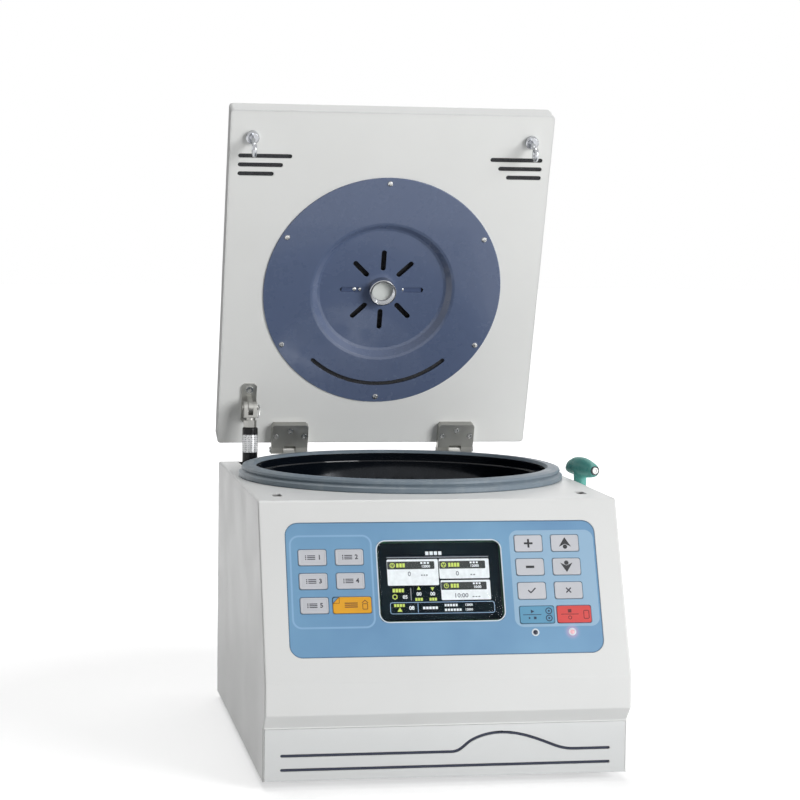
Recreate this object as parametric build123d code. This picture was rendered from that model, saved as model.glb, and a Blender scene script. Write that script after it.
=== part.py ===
from build123d import *
import math
import os

# Benchtop high-speed centrifuge with its lid standing open.
# Millimetres, +Z up, the front looks along -Y. The origin is the point on the bench under the spindle.
# Lid pieces are drawn with the lid shut, then turned up about the hinge axis to the rest pose.

# Chamber, driving dimensions
BOWL_R = 157.0
BOWL_WALL = 1.5
BOWL_FLOOR_Z = 118.0
BOWL_CORNER_R = 26.0
BOWL_FLANGE_W = 13.0
BOWL_NECK_R = 44.0
CHAMBER_HOLE_ROOM = 6.0
GASKET_LAP_IN = 9.0
GASKET_LAP_OUT = 9.0
GASKET_LIP_BACK = 2.5
GASKET_H = 13.7
GASKET_STEP_H = 7.0
BOWL_FLANGE_R = BOWL_R + BOWL_FLANGE_W
CHAMBER_HOLE_R = BOWL_R + CHAMBER_HOLE_ROOM
GASKET_IN_R = BOWL_FLANGE_R - GASKET_LAP_IN
GASKET_OUT_R = BOWL_FLANGE_R + GASKET_LAP_OUT
GASKET_LIP_R = GASKET_OUT_R - GASKET_LIP_BACK

# Casing, its width set by the chamber ring
DECK_EDGE = 6.0
CASE_W = 2 * (GASKET_OUT_R + DECK_EDGE)
HALF_W = CASE_W / 2
CASE_REAR_Y = 183.0
TOP_Z = 280.0
TOP_FRONT_Y = -227.0
CREST_Y = -301.0
CREST_Z = 108.5
BAND_Z = 76.5
PLINTH_Y = -286.0
STEP_Z = 62.0
FOOT_H = 8.0
SHEET = 1.5
TOP_EDGE_R = 5.0
CREST_R = 5.0
BAND_R = 3.0
REAR_EDGE_R = 7.0
SIDE_EDGE_R = 2.0
REAR_RIM = 12.0

# Clearances
GAP = 0.3
RUNNING = 0.05
SEAT = 0.02

# Lid
LID_W = CASE_W
LID_L = 409.0
LID_T = 28.0
LID_REAR_Y = 193.0
LID_SHEET = 1.2
LID_EDGE_R = 3.0
LID_CORNER_R = 4.0
LID_REST_DEG = 70.0
LID_FACE_Z = TOP_Z + GASKET_H + GAP
HINGE_BEHIND_LID = 8.0
HINGE_BELOW_FACE = 3.0
HINGE_Y = LID_REAR_Y + HINGE_BEHIND_LID
HINGE_Z = LID_FACE_Z - HINGE_BELOW_FACE

# Lid furniture
DISH_R = 139.5
DISH_T = 1.5
DISH_STEP_OUT_R = 85.0
DISH_STEP_IN_R = 73.0
DISH_DEPTH = 8.0
DISH_SCREW_PCR = 132.5
DISH_SCREWS = 6
DISH_SCREW_R = 3.4
DISH_SCREW_TOP_R = 2.6
DISH_SCREW_H = 1.8
DISH_SCREW_SIDE_H = 1.3
CROSS_L = 3.4
CROSS_W = 0.8
CROSS_DEPTH = 1.2
CROSS_MID = 1.5
DISH_VENTS = 8
DISH_VENT_IN_R = 24.0
DISH_VENT_OUT_R = 49.0
DISH_VENT_W = 6.0
DISH_ARC_R = 115.5
DISH_ARC_W = 5.0
DISH_ARC_HALF_DEG = 42.0
PLUG_R = 15.8
PLUG_TOP_R = 12.0
PLUG_H = 11.0
LID_SLOT_W = 5.0
LID_SLOT_EDGE = 10.0
LID_SLOT_OUTER_X = LID_W / 2 - LID_SLOT_EDGE
LID_SLOT_LENGTHS = (61.0, 51.0, 41.0)
LID_SLOT_FIRST_BACK = 355.7
LID_SLOT_FIRST_Y = LID_REAR_Y - LID_SLOT_FIRST_BACK
LID_SLOT_PITCH = 10.5

# Lid lock
LOCK_FROM_SIDE = 25.0
LOCK_X = HALF_W - LOCK_FROM_SIDE
STRIKER_BACK = 378.0
STRIKER_LEAN = 7.0
STRIKER_BASE_Y = LID_REAR_Y - STRIKER_BACK
STRIKER_EYE_Y = STRIKER_BASE_Y + STRIKER_LEAN
STRIKER_EYE_DROP = 25.0
STRIKER_EYE_R = 6.5
STRIKER_WIRE_R = 2.3
STRIKER_BOSS_R = 7.5
STRIKER_BOSS_H = 6.0
STRIKER_BOSS_EDGE = 1.2
STRIKER_NECK = 4.0
LOCK_SLOT_W = 10.0
LOCK_SLOT_L = 22.0
LOCK_BODY_X = 28.0
LOCK_BODY_Y = 42.0
LOCK_BODY_H = 40.0
LOCK_FLOOR_T = 6.0
LOCK_SLOT_CORNER_R = 3.0
CATCH_R = 3.0
CATCH_TRAVEL = 12.0
CATCH_HEAD_R = 7.0
CATCH_HEAD_L = 6.0
CATCH_BACK = 1.0
CATCH_REST = 2.0

# Hinges
HINGE_X = 100.0
HINGE_W = 43.0
HINGE_BLOCK_L = 27.0
HINGE_BLOCK_T = 10.0
HINGE_KNUCKLE_R = 5.0
HINGE_PIN_R = 2.2
HINGE_TONGUE_W = 14.0
HINGE_PLATE_T = 3.0
HINGE_PLATE_H = 40.0
HINGE_NOTCH_CLEAR = 3.0
SCREW_HEAD_R = 3.2
SCREW_SINK = 2.6
HINGE_SCREW_X = 16.7
HINGE_SCREW_SIDE_BACK = 12.5
HINGE_SCREW_MID_BACK = 19.5

# Gas strut
STRUT_FROM_SIDE = 35.0
STRUT_X = STRUT_FROM_SIDE - HALF_W
STRUT_EYE_BACK = 54.0
STRUT_EYE_DROP = 18.0
STRUT_FOOT_Y = 163.0
STRUT_FOOT_Z = 110.0
STRUT_TUBE_R = 9.0
STRUT_TUBE_WALL = 1.6
STRUT_ROD_R = 4.0
STRUT_TUBE_TOP = 23.0
STRUT_TUBE_END = 125.0
STRUT_GLAND_L = 8.0
STRUT_PLUG_L = 6.0
STRUT_SHOULDER_R = 2.0
STRUT_PISTON_L = 6.0
STRUT_CORNER = 3.0
STRUT_ROD_INSIDE = 20.0
STRUT_PIN_R = 3.0
STRUT_NECK_R = 4.5
STRUT_NUT_AF = 13.0
STRUT_NUT_H = 8.0
STRUT_EAR_T = 5.0
STRUT_EAR_R = 8.0
STRUT_FOOT_EYE_R = 7.0
STRUT_FOOT_EYE_T = 10.0
STRUT_FORK_W = 15.0
STRUT_PLATE_W = 17.5
STRUT_PLATE_T = 2.5
STRUT_PLATE_FIRST = 28.0
STRUT_PLATE_LAST = 77.0
STRUT_SCREW_BACK = 70.0
STRUT_SLOT_W = 26.0
STRUT_SLOT_FRONT_Y = 121.0
STRUT_SLOT_REAR_Y = 179.0
STRUT_FOOT_FLOAT = 8.5
STRUT_FOOT_PIN_L = 18.0
ANCHOR_SHEET = 2.0
ANCHOR_FLANGE = 9.0
ANCHOR_RIM = 5.0

# Control panel on the sloped front, measured down the slope from the sharp top edge
PANEL_W = 318.0
PANEL_H = 138.0
PANEL_MID = 92.5
PANEL_R = 13.0
PANEL_T = 1.5
PANEL_INSET = 0.2
SCREEN_FROM_LEFT = 92.05
SCREEN_FROM_RIGHT = 99.45
SCREEN_W = PANEL_W - SCREEN_FROM_LEFT - SCREEN_FROM_RIGHT
SCREEN_X = (SCREEN_FROM_LEFT - SCREEN_FROM_RIGHT) / 2
SCREEN_H = 83.0
SCREEN_MID = 85.0
SCREEN_R = 5.0
WINDOW_T = 1.2
KEY_PROUD = 0.5
KEY_TRAVEL = 0.6
KEY_FLANGE = 1.2
KEY_FLANGE_T = 0.7
KEY_R = 1.5
KEY_EDGE = 0.3
BOARD_T = 1.6
BOARD_DEPTH = 4.6
BOARD_OVER = 8.0
BOARD_POST_R = 3.0
BOARD_POST_IN = 4.0
SWITCH_W = 6.0
MODULE_MARGIN = 2.0
LED_R = 2.4
LED_DROP = 139.8
LED_PROUD = 0.3
PANEL_LEFT = -PANEL_W / 2
PANEL_RIGHT = PANEL_W / 2
LED_X = (PANEL_RIGHT - 69.5, PANEL_RIGHT - 31.5)

# Keys: middle from the panel's nearer end, distance down the slope, width and height
KEYS = {
    "key_1": (PANEL_LEFT + 26.4, 59.5, 28.0, 16.0),
    "key_2": (PANEL_LEFT + 63.7, 59.5, 28.0, 16.0),
    "key_3": (PANEL_LEFT + 26.4, 84.0, 28.0, 16.0),
    "key_4": (PANEL_LEFT + 63.7, 84.0, 28.0, 16.0),
    "key_5": (PANEL_LEFT + 26.4, 108.8, 28.0, 16.0),
    "key_program": (PANEL_LEFT + 64.2, 108.8, 38.5, 16.5),
    "key_plus": (PANEL_RIGHT - 70.0, 47.4, 28.5, 17.0),
    "key_up": (PANEL_RIGHT - 32.0, 47.4, 28.5, 17.0),
    "key_minus": (PANEL_RIGHT - 70.0, 72.1, 28.5, 17.0),
    "key_down": (PANEL_RIGHT - 32.0, 72.1, 28.5, 17.0),
    "key_confirm": (PANEL_RIGHT - 70.0, 96.9, 28.5, 17.0),
    "key_clear": (PANEL_RIGHT - 32.0, 96.9, 28.5, 17.0),
    "key_start": (PANEL_RIGHT - 66.6, 121.7, 35.0, 17.4),
    "key_stop": (PANEL_RIGHT - 28.2, 121.7, 35.0, 17.4),
}

# Plinth slots, as x and height above the bench
PLINTH_SLOT_W = 3.0
PLINTH_SLOT_EDGE = 19.0
PLINTH_SLOT_X = HALF_W - PLINTH_SLOT_EDGE
PLINTH_FOLD = 14.0
PLINTH_LOW_Z = 19.3
PLINTH_HIGH_Z = 33.5
PLINTH_CREST = ((4.0, 33.5), (21.0, 42.3), (37.5, 49.8), (56.0, 52.0), (102.0, 40.6), (130.0, 33.5))

# Drive
SPINDLE_R = 8.5
SPINDLE_NOSE_R = 6.5
SPINDLE_TOP_Z = 206.0
ROTOR_FOOT_H = 8.0
MOTOR_R = 62.0
MOTOR_BASE_Z = 22.0
MOTOR_TOP_Z = 92.0
MOTOR_PLATE_T = 3.0
MOTOR_PLATE_W = 224.0
MOTOR_BOSS_R = 26.0
MOTOR_BOSS_H = 14.0
MOTOR_FLOOR = 10.0
DAMPER_R = 14.0
DAMPER_H = 16.0
DAMPER_AT = 92.0
PILLAR_R = 8.0
BOOT_WALL = 2.0
ROTOR_R = 118.0
ROTOR_BASE_Z = 146.0
ROTOR_SHOULDER_Z = 205.0
ROTOR_RIM_R = 90.0
ROTOR_RIM_W = 4.0
ROTOR_HUB_R = 24.0
ROTOR_HUB_TOP_Z = 222.0
ROTOR_HUB_SKIRT = 10.0
ROTOR_WEB_RISE = 40.0
ROTOR_SKIRT_RISE = 36.0
ROTOR_WEB_W = 32.0
ROTOR_KEEL_RISE = 10.0
ROTOR_KEEL_DIP = 6.0
ROTOR_KEEL_IN = 30.0
ROTOR_KEEL_OUT = 16.0
ROTOR_SIDE_RISE = 34.0
ROTOR_EDGE = 2.0
ROTOR_FILLET = 4.0
ROTOR_POCKETS = 12
POCKET_R = 8.5
POCKET_DEG = 30.0
POCKET_L = 68.0
POCKET_OVERCUT = 12.0
POCKET_MOUTH_R = 62.0
POCKET_MOUTH_Z = 234.0
NUT_R = 17.0
NUT_H = 20.0
NUT_THREAD_R = 6.0
NUT_SOCKET_DEPTH = 10.0
NUT_EDGE = 1.5
NUT_FLUTES = 8
NUT_FLUTE_R = 4.5
NUT_FLUTE_OUT = 2.5
NUT_COLLAR_H = 5.0

# Motor drive box on the floor
INVERTER_FROM_SIDE = 13.0
INVERTER_W = 54.0
INVERTER_FRONT_Y = -130.0
INVERTER_REAR_Y = 50.0
INVERTER_TOP_Z = 84.0
INVERTER_FINS = 8
INVERTER_PITCH = 22.0
INVERTER_GROOVE_W = 10.0
INVERTER_GROOVE_H = 12.0

# Feet
FOOT_R = 13.0
FOOT_X = 140.0
FOOT_FRONT_Y = -238.0
FOOT_REAR_Y = 143.0
FOOT_STUD_R = 3.0
FOOT_STUD_RISE = 3.0
FOOT_TAPER = 2.0

# Rear services
FAN_X = 95.0
FAN_Z = 92.0
FAN_SIZE = 92.0
FAN_DEPTH = 25.0
FAN_BORE_R = 43.0
FAN_HUB_R = 18.0
FAN_BLADES = 7
FAN_BLADE_R = 41.0
FAN_SCREW_AT = 41.25
FAN_SCREW_R = 2.2
FAN_CORNER_R = 5.0
FAN_ARMS = 3
FAN_ARM_T = 3.0
FAN_ARM_W = 5.0
FAN_AXLE_R = 2.5
FAN_BLADE_W = 17.0
FAN_BLADE_T = 1.6
FAN_BLADE_DEG = 35.0
GRILLE_RINGS = 4
GRILLE_PITCH = 9.5
GRILLE_GAP = 6.0
GRILLE_BAR = 5.0
GRILLE_INSIDE = 2.0
INLET_X = -70.0
INLET_Z = 70.0
INLET_W = 50.0
INLET_H = 74.0
INLET_BEZEL_T = 3.0
INLET_BODY_W = 44.0
INLET_BODY_H = 66.0
INLET_BODY_D = 30.0
SOCKET_W = 25.0
SOCKET_H = 17.0
SOCKET_D = 16.0
SOCKET_CHAMFER = 4.0
SOCKET_PINS = ((-7.0, -2.0), (7.0, -2.0), (0.0, 3.0))
SOCKET_PIN_W = 2.0
SOCKET_PIN_H = 4.0
SOCKET_PIN_BACK = 3.0
INLET_HALF_PITCH = 17.0
INLET_CORNER = 3.0
ROCKER_R = 10.0
ROCKER_SINK = 6.0
ROCKER_PIN_R = 1.5
ROCKER_W = 20.0
ROCKER_TILT = 10.0
LOUVRE_ROWS = 7
LOUVRE_FIRST_Z = 170.0
LOUVRE_PITCH = 12.0
LOUVRE_W = 120.0
LOUVRE_SLOT_H = 4.0

# Rotor key stored upright on the right wall
TOOL_OUT = 16.0
TOOL_X = HALF_W + TOOL_OUT
TOOL_Y = -17.0
TOOL_TURN = 13.0
TOOL_BAR_L = 64.0
TOOL_BAR_W = 16.0
TOOL_BAR_H = 19.0
TOOL_BAR_RISE = 10.5
TOOL_BAR_Z = TOP_Z + TOOL_BAR_RISE
TOOL_STEM_R = 7.8
TOOL_STEM_DROP = 28.0
TOOL_STEM_END_Z = TOP_Z - TOOL_STEM_DROP
TOOL_HEX_AF = 6.0
TOOL_BLADE_DROP = 112.0
TOOL_BLADE_END_Z = TOP_Z - TOOL_BLADE_DROP
TOOL_HANG_R = 2.0
TOOL_HANG_IN = 6.0
TOOL_END_R = 4.0
HOLDER_H = 20.0
HOLDER_R = 8.0
HOLDER_PLATE_T = 2.0
HOLDER_PLATE_W = 30.0
HOLDER_PLATE_H = 34.0

# Worked-out values
SLOPE_RUN = TOP_FRONT_Y - CREST_Y
SLOPE_DROP = TOP_Z - CREST_Z
SLOPE_L = math.hypot(SLOPE_RUN, SLOPE_DROP)
UNDER_TOP = TOP_Z - SHEET
LOCK_EYE_Z = LID_FACE_Z - STRIKER_EYE_DROP
HINGE_AXIS = Axis((0, HINGE_Y, HINGE_Z), (1, 0, 0))
REAR_INNER_Y = CASE_REAR_Y - SHEET
PAN_TOP_Z = FOOT_H + SHEET


def front_plane(depth=0.0):
    """Plane on the sloped front: X to the right, Y up the slope, depth into the casing."""
    out = Vector(0, -SLOPE_DROP / SLOPE_L, SLOPE_RUN / SLOPE_L)
    base = Vector(0, TOP_FRONT_Y, TOP_Z) - out * depth
    return Plane(origin=base, x_dir=(1, 0, 0), z_dir=out)


def opened(shape):
    """Turn a lid piece from the shut drawing position to its rest pose."""
    return shape.rotate(HINGE_AXIS, -LID_REST_DEG)


def cyl_x(radius, length, y, z, x=0.0):
    """Cylinder along X, centred on x."""
    return Pos(x, y, z) * Rot(0, 90, 0) * Cylinder(radius, length)


def cyl_y(radius, length, x, y, z):
    """Cylinder along Y, centred on y."""
    return Pos(x, y, z) * Rot(90, 0, 0) * Cylinder(radius, length)


def cyl_z(radius, z_low, z_high, x=0.0, y=0.0):
    """Cylinder along Z between two heights."""
    return Pos(x, y, (z_low + z_high) / 2) * Cylinder(radius, z_high - z_low)


def box_between(low, high):
    """Box from its lowest corner to its highest corner."""
    size = [b - a for a, b in zip(low, high)]
    mid = [(a + b) / 2 for a, b in zip(low, high)]
    return Pos(*mid) * Box(*size)


def rounded_slab(width, height, radius, depth_from, depth_to, x, drop):
    """Rounded plate lying in the sloped front, between two depths below its surface."""
    sketch = Pos(x, -drop) * RectangleRounded(width, height, radius)
    return extrude(front_plane(depth_to) * sketch, depth_to - depth_from)


def revolved(points):
    """Solid of revolution about the spindle from radius and height pairs."""
    return revolve(Plane.XZ * make_face(Polyline(*points, close=True)), Axis.Z)


def joined(shapes):
    """One compound that keeps every shape as a separate solid."""
    solids = []
    for shape in shapes:
        solids.extend(shape.solids())
    return Compound(children=solids)


def polar(count, radius, start=0.0):
    """Points on a circle round the origin."""
    step = 360.0 / count
    angles = [math.radians(start + step * i) for i in range(count)]
    return [(radius * math.cos(a), radius * math.sin(a)) for a in angles]


def case_profile():
    """Side outline of the casing in the YZ plane."""
    points = [
        (CASE_REAR_Y, FOOT_H),
        (CASE_REAR_Y, TOP_Z),
        (TOP_FRONT_Y, TOP_Z),
        (CREST_Y, CREST_Z),
        (CREST_Y, BAND_Z),
        (PLINTH_Y, STEP_Z),
        (PLINTH_Y, FOOT_H),
    ]
    radii = [0, REAR_EDGE_R, TOP_EDGE_R, CREST_R, BAND_R, 0, 0]
    wire = Polyline(*points, close=True)
    face = make_face(wire)
    for (y, z), radius in zip(points, radii):
        if radius:
            corner = face.vertices().sort_by_distance((y, z))[0]
            face = fillet(corner, radius)
    return face


def cover_shell():
    """Welded sheet cover: both sides, the top deck, the sloped front and the rear rim."""
    outline = case_profile()
    body = extrude(Plane.YZ * outline, HALF_W, both=True)
    side_edges = body.faces().sort_by(Axis.X)[0].edges() + body.faces().sort_by(Axis.X)[-1].edges()
    rounded = [e for e in side_edges if e.center().Z > FOOT_H + 1 and e.center().Y < CASE_REAR_Y - 1]
    body = fillet(rounded, SIDE_EDGE_R)
    inner = extrude(Plane.YZ * offset(outline, -SHEET), HALF_W - SHEET, both=True)
    shell = body - inner
    shell -= box_between(
        (-HALF_W + SHEET, PLINTH_Y + SHEET, FOOT_H - 1),
        (HALF_W - SHEET, REAR_INNER_Y, FOOT_H + 3 * SHEET),
    )
    shell -= box_between(
        (-HALF_W + SHEET, PLINTH_Y - 1, FOOT_H - 1),
        (HALF_W - SHEET, PLINTH_Y + SHEET, STEP_Z - SHEET),
    )
    shell -= box_between(
        (-HALF_W + REAR_RIM, REAR_INNER_Y - 1, FOOT_H + REAR_RIM),
        (HALF_W - REAR_RIM, CASE_REAR_Y + 1, TOP_Z - REAR_RIM),
    )
    shell -= cyl_z(CHAMBER_HOLE_R, UNDER_TOP - 1, TOP_Z + 1)
    for side in (-1, 1):
        slot = RectangleRounded(LOCK_SLOT_W, LOCK_SLOT_L, LOCK_SLOT_CORNER_R)
        slot = Pos(side * LOCK_X, STRIKER_EYE_Y) * slot
        shell -= extrude(Plane.XY.offset(UNDER_TOP - 1) * slot, SHEET + 2)
    slot_l = STRUT_SLOT_REAR_Y - STRUT_SLOT_FRONT_Y
    slot_mid = (STRUT_SLOT_REAR_Y + STRUT_SLOT_FRONT_Y) / 2
    slot = Pos(STRUT_X, slot_mid) * RectangleRounded(STRUT_SLOT_W, slot_l, 3)
    shell -= extrude(Plane.XY.offset(UNDER_TOP - 1) * slot, SHEET + 2)
    shell -= rounded_slab(
        PANEL_W + 2 * GAP, PANEL_H + 2 * GAP, PANEL_R + GAP, -1, SHEET + 1, 0, PANEL_MID
    )
    return shell


def plinth_panel():
    """Recessed lower front with a straight slot and a slot that rises over a hump."""
    width = CASE_W - 2 * SHEET - 2 * GAP
    low = FOOT_H + GAP
    high = STEP_Z - SHEET - GAP
    panel = box_between((-width / 2, PLINTH_Y, low), (width / 2, PLINTH_Y + SHEET, high))
    panel += box_between(
        (-width / 2, PLINTH_Y, high - SHEET), (width / 2, PLINTH_Y + PLINTH_FOLD, high)
    )
    lower = Pos(0, PLINTH_LOW_Z) * SlotCenterToCenter(2 * PLINTH_SLOT_X, PLINTH_SLOT_W)
    start = Line((-PLINTH_SLOT_X, PLINTH_HIGH_Z), PLINTH_CREST[0])
    hump = Spline(*PLINTH_CREST, tangents=[(1, 0), (1, 0)])
    finish = Line(PLINTH_CREST[-1], (PLINTH_SLOT_X, PLINTH_HIGH_Z))
    upper = trace(Wire([start, hump, finish]), line_width=PLINTH_SLOT_W)
    for x in (-PLINTH_SLOT_X, PLINTH_SLOT_X):
        upper += Pos(x, PLINTH_HIGH_Z) * Circle(PLINTH_SLOT_W / 2)
    face = Plane(origin=(0, PLINTH_Y - 1, 0), x_dir=(1, 0, 0), z_dir=(0, -1, 0))
    for slot in (lower, upper):
        panel -= extrude(face * slot, -(SHEET + 2))
    return panel


def base_pan():
    """Folded steel floor with upturned edges and foot holes."""
    half = HALF_W - SHEET - GAP
    front = PLINTH_Y + SHEET + GAP
    rear = REAR_INNER_Y - SHEET - 2 * GAP
    edge = 16.0
    pan = box_between((-half, front, FOOT_H), (half, rear, FOOT_H + edge))
    pan -= box_between(
        (-half + SHEET, front + SHEET, PAN_TOP_Z), (half - SHEET, rear - SHEET, FOOT_H + edge + 1)
    )
    for x in (-FOOT_X, FOOT_X):
        for y in (FOOT_FRONT_Y, FOOT_REAR_Y):
            pan -= cyl_z(FOOT_STUD_R + GAP, FOOT_H - 1, PAN_TOP_Z + 1, x, y)
    return pan


def feet():
    """Four rubber feet with a moulded stud through the floor."""
    solids = []
    for x in (-FOOT_X, FOOT_X):
        for y in (FOOT_FRONT_Y, FOOT_REAR_Y):
            pad = Pos(x, y, FOOT_H / 2) * Cone(FOOT_R - FOOT_TAPER, FOOT_R, FOOT_H)
            solids.append(pad + cyl_z(FOOT_STUD_R, FOOT_H, PAN_TOP_Z + FOOT_STUD_RISE, x, y))
    return joined(solids)


def rear_panel():
    """Rear plate behind the rim, with louvre slots, fan grille and the mains cut-out."""
    half = HALF_W - SHEET - GAP
    low = FOOT_H + SHEET
    high = TOP_Z - REAR_EDGE_R - GAP
    inner = REAR_INNER_Y - SHEET
    panel = box_between((-half, inner, low), (half, REAR_INNER_Y, high))
    for i in range(GRILLE_RINGS):
        ring_r = FAN_BORE_R - GRILLE_INSIDE - i * GRILLE_PITCH
        ring = cyl_y(ring_r, SHEET + 2, FAN_X, inner, FAN_Z)
        panel -= ring - cyl_y(ring_r - GRILLE_GAP, SHEET + 4, FAN_X, inner, FAN_Z)
    for turn in (0, 90):
        spoke = Pos(FAN_X, inner + SHEET / 2, FAN_Z) * Rot(0, 45 + turn, 0)
        panel += spoke * Box(2 * FAN_BORE_R, SHEET, GRILLE_BAR)
    for dx in (-FAN_SCREW_AT, FAN_SCREW_AT):
        for dz in (-FAN_SCREW_AT, FAN_SCREW_AT):
            panel -= cyl_y(FAN_SCREW_R, SHEET + 4, FAN_X + dx, inner, FAN_Z + dz)
    for i in range(LOUVRE_ROWS):
        z = LOUVRE_FIRST_Z + i * LOUVRE_PITCH
        slot = Pos(0, z) * SlotOverall(LOUVRE_W, LOUVRE_SLOT_H)
        wall = Plane(origin=(0, REAR_INNER_Y + 1, 0), x_dir=(-1, 0, 0), z_dir=(0, 1, 0))
        panel -= extrude(wall * slot, -(SHEET + 2))
    panel -= box_between(
        (INLET_X - INLET_BODY_W / 2 - GAP, inner - 1, INLET_Z - INLET_BODY_H / 2 - GAP),
        (INLET_X + INLET_BODY_W / 2 + GAP, REAR_INNER_Y + 1, INLET_Z + INLET_BODY_H / 2 + GAP),
    )
    return panel


def chamber_bowl():
    """Drawn steel bowl that hangs by its flange in the top deck."""
    r, wall, floor, corner = BOWL_R, BOWL_WALL, BOWL_FLOOR_Z, BOWL_CORNER_R
    steps = [math.radians(a) for a in range(0, 91, 15)]
    inner = [(r - corner + corner * math.sin(a), floor + corner - corner * math.cos(a)) for a in steps]
    big = corner + wall
    outer = [(r - corner + big * math.sin(a), floor + corner - big * math.cos(a)) for a in steps]
    points = [(BOWL_NECK_R, floor)] + inner
    points += [(r, TOP_Z + wall), (BOWL_FLANGE_R, TOP_Z + wall), (BOWL_FLANGE_R, TOP_Z), (r + wall, TOP_Z)]
    points += outer[::-1] + [(BOWL_NECK_R, floor - wall)]
    return revolved(points)


def chamber_gasket():
    """Moulded rubber ring over the bowl flange: a lower band, a groove and a rounded lip."""
    top = TOP_Z + GASKET_H
    ledge = TOP_Z + GASKET_STEP_H
    points = [
        (GASKET_IN_R, TOP_Z + BOWL_WALL),
        (GASKET_IN_R, top - 3),
        (GASKET_IN_R + 2, top),
        (GASKET_LIP_R - 6, top),
        (GASKET_LIP_R - 1, top - 1.6),
        (GASKET_LIP_R, top - 4),
        (GASKET_LIP_R - 1.5, ledge + 1),
        (GASKET_OUT_R - 2.5, ledge),
        (GASKET_OUT_R, ledge - 2),
        (GASKET_OUT_R, TOP_Z + 1),
        (GASKET_OUT_R - 1, TOP_Z),
        (BOWL_FLANGE_R + SEAT, TOP_Z),
        (BOWL_FLANGE_R + SEAT, TOP_Z + BOWL_WALL),
    ]
    return revolved(points)


def motor_mount_plate():
    """Square steel plate on four dampers that the motor hangs from."""
    plate = extrude(Plane.XY.offset(MOTOR_TOP_Z) * RectangleRounded(MOTOR_PLATE_W, MOTOR_PLATE_W, 20),
                    MOTOR_PLATE_T)
    plate -= cyl_z(MOTOR_BOSS_R + GAP, MOTOR_TOP_Z - 1, MOTOR_TOP_Z + MOTOR_PLATE_T + 1)
    return plate


def motor_dampers():
    """Four rubber dampers on steel pillars between the floor and the motor plate."""
    solids = []
    foot = MOTOR_TOP_Z - DAMPER_H
    for x in (-DAMPER_AT, DAMPER_AT):
        for y in (-DAMPER_AT, DAMPER_AT):
            rubber = revolve(
                Plane.XZ * make_face(Polyline(
                    (0, foot), (DAMPER_R, foot), (DAMPER_R - 3, foot + DAMPER_H / 2),
                    (DAMPER_R, MOTOR_TOP_Z), (0, MOTOR_TOP_Z), close=True)),
                Axis.Z)
            solids.append(Pos(x, y, 0) * rubber)
            solids.append(cyl_z(PILLAR_R, PAN_TOP_Z, foot, x, y))
    return joined(solids)


def drive_motor():
    """Brushless motor can with cooling ribs, a top boss and a bearing bore."""
    can = cyl_z(MOTOR_R - 4, MOTOR_BASE_Z, MOTOR_TOP_Z)
    for i in range(5):
        z = MOTOR_BASE_Z + 12 + i * 11
        can += cyl_z(MOTOR_R, z, z + 5)
    can += cyl_z(MOTOR_BOSS_R, MOTOR_TOP_Z, MOTOR_TOP_Z + MOTOR_BOSS_H)
    can -= cyl_z(SPINDLE_R + RUNNING, MOTOR_BASE_Z + MOTOR_FLOOR, MOTOR_TOP_Z + MOTOR_BOSS_H + 1)
    return can


def spindle_boot():
    """Rubber bellows between the motor boss and the hole in the bowl floor."""
    boss, low = MOTOR_BOSS_R + SEAT, MOTOR_TOP_Z + MOTOR_PLATE_T + GAP
    neck, floor = BOWL_NECK_R, BOWL_FLOOR_Z
    wall = BOOT_WALL
    points = [
        (boss, low),
        (boss + wall, low),
        (boss + wall, low + 6),
        (neck - 6, low + 12),
        (neck - 6, floor - BOWL_WALL - wall),
        (neck + 6, floor - BOWL_WALL - wall),
        (neck + 6, floor - BOWL_WALL),
        (neck - SEAT, floor - BOWL_WALL),
        (neck - SEAT, floor),
        (neck + 4, floor),
        (neck + 4, floor + wall),
        (neck - 6 - wall, floor + wall),
        (neck - 6 - wall, low + 13),
        (boss, low + 7),
    ]
    return revolved(points)


def cone_top(radius):
    """Height of the rotor's hollow top, which lies square to the pockets."""
    return POCKET_MOUTH_Z + (radius - POCKET_MOUTH_R) * math.tan(math.radians(POCKET_DEG))


def shaft_nose(clearance):
    """Taper of the shaft from the rotor's foot to the thread, grown by a clearance."""
    low = ROTOR_BASE_Z + ROTOR_FOOT_H
    height = SPINDLE_TOP_Z - low
    taper = Cone(SPINDLE_R + clearance, SPINDLE_NOSE_R + clearance, height)
    return Pos(0, 0, low + height / 2) * taper


def drive_shaft():
    """Spindle with a tapered nose and a threaded end for the rotor nut."""
    shaft = cyl_z(SPINDLE_R, MOTOR_BASE_Z + MOTOR_FLOOR + 1, ROTOR_BASE_Z + ROTOR_FOOT_H)
    shaft += shaft_nose(0)
    shaft += cyl_z(NUT_THREAD_R, SPINDLE_TOP_Z, ROTOR_HUB_TOP_Z + NUT_H - NUT_SOCKET_DEPTH)
    return shaft


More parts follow.
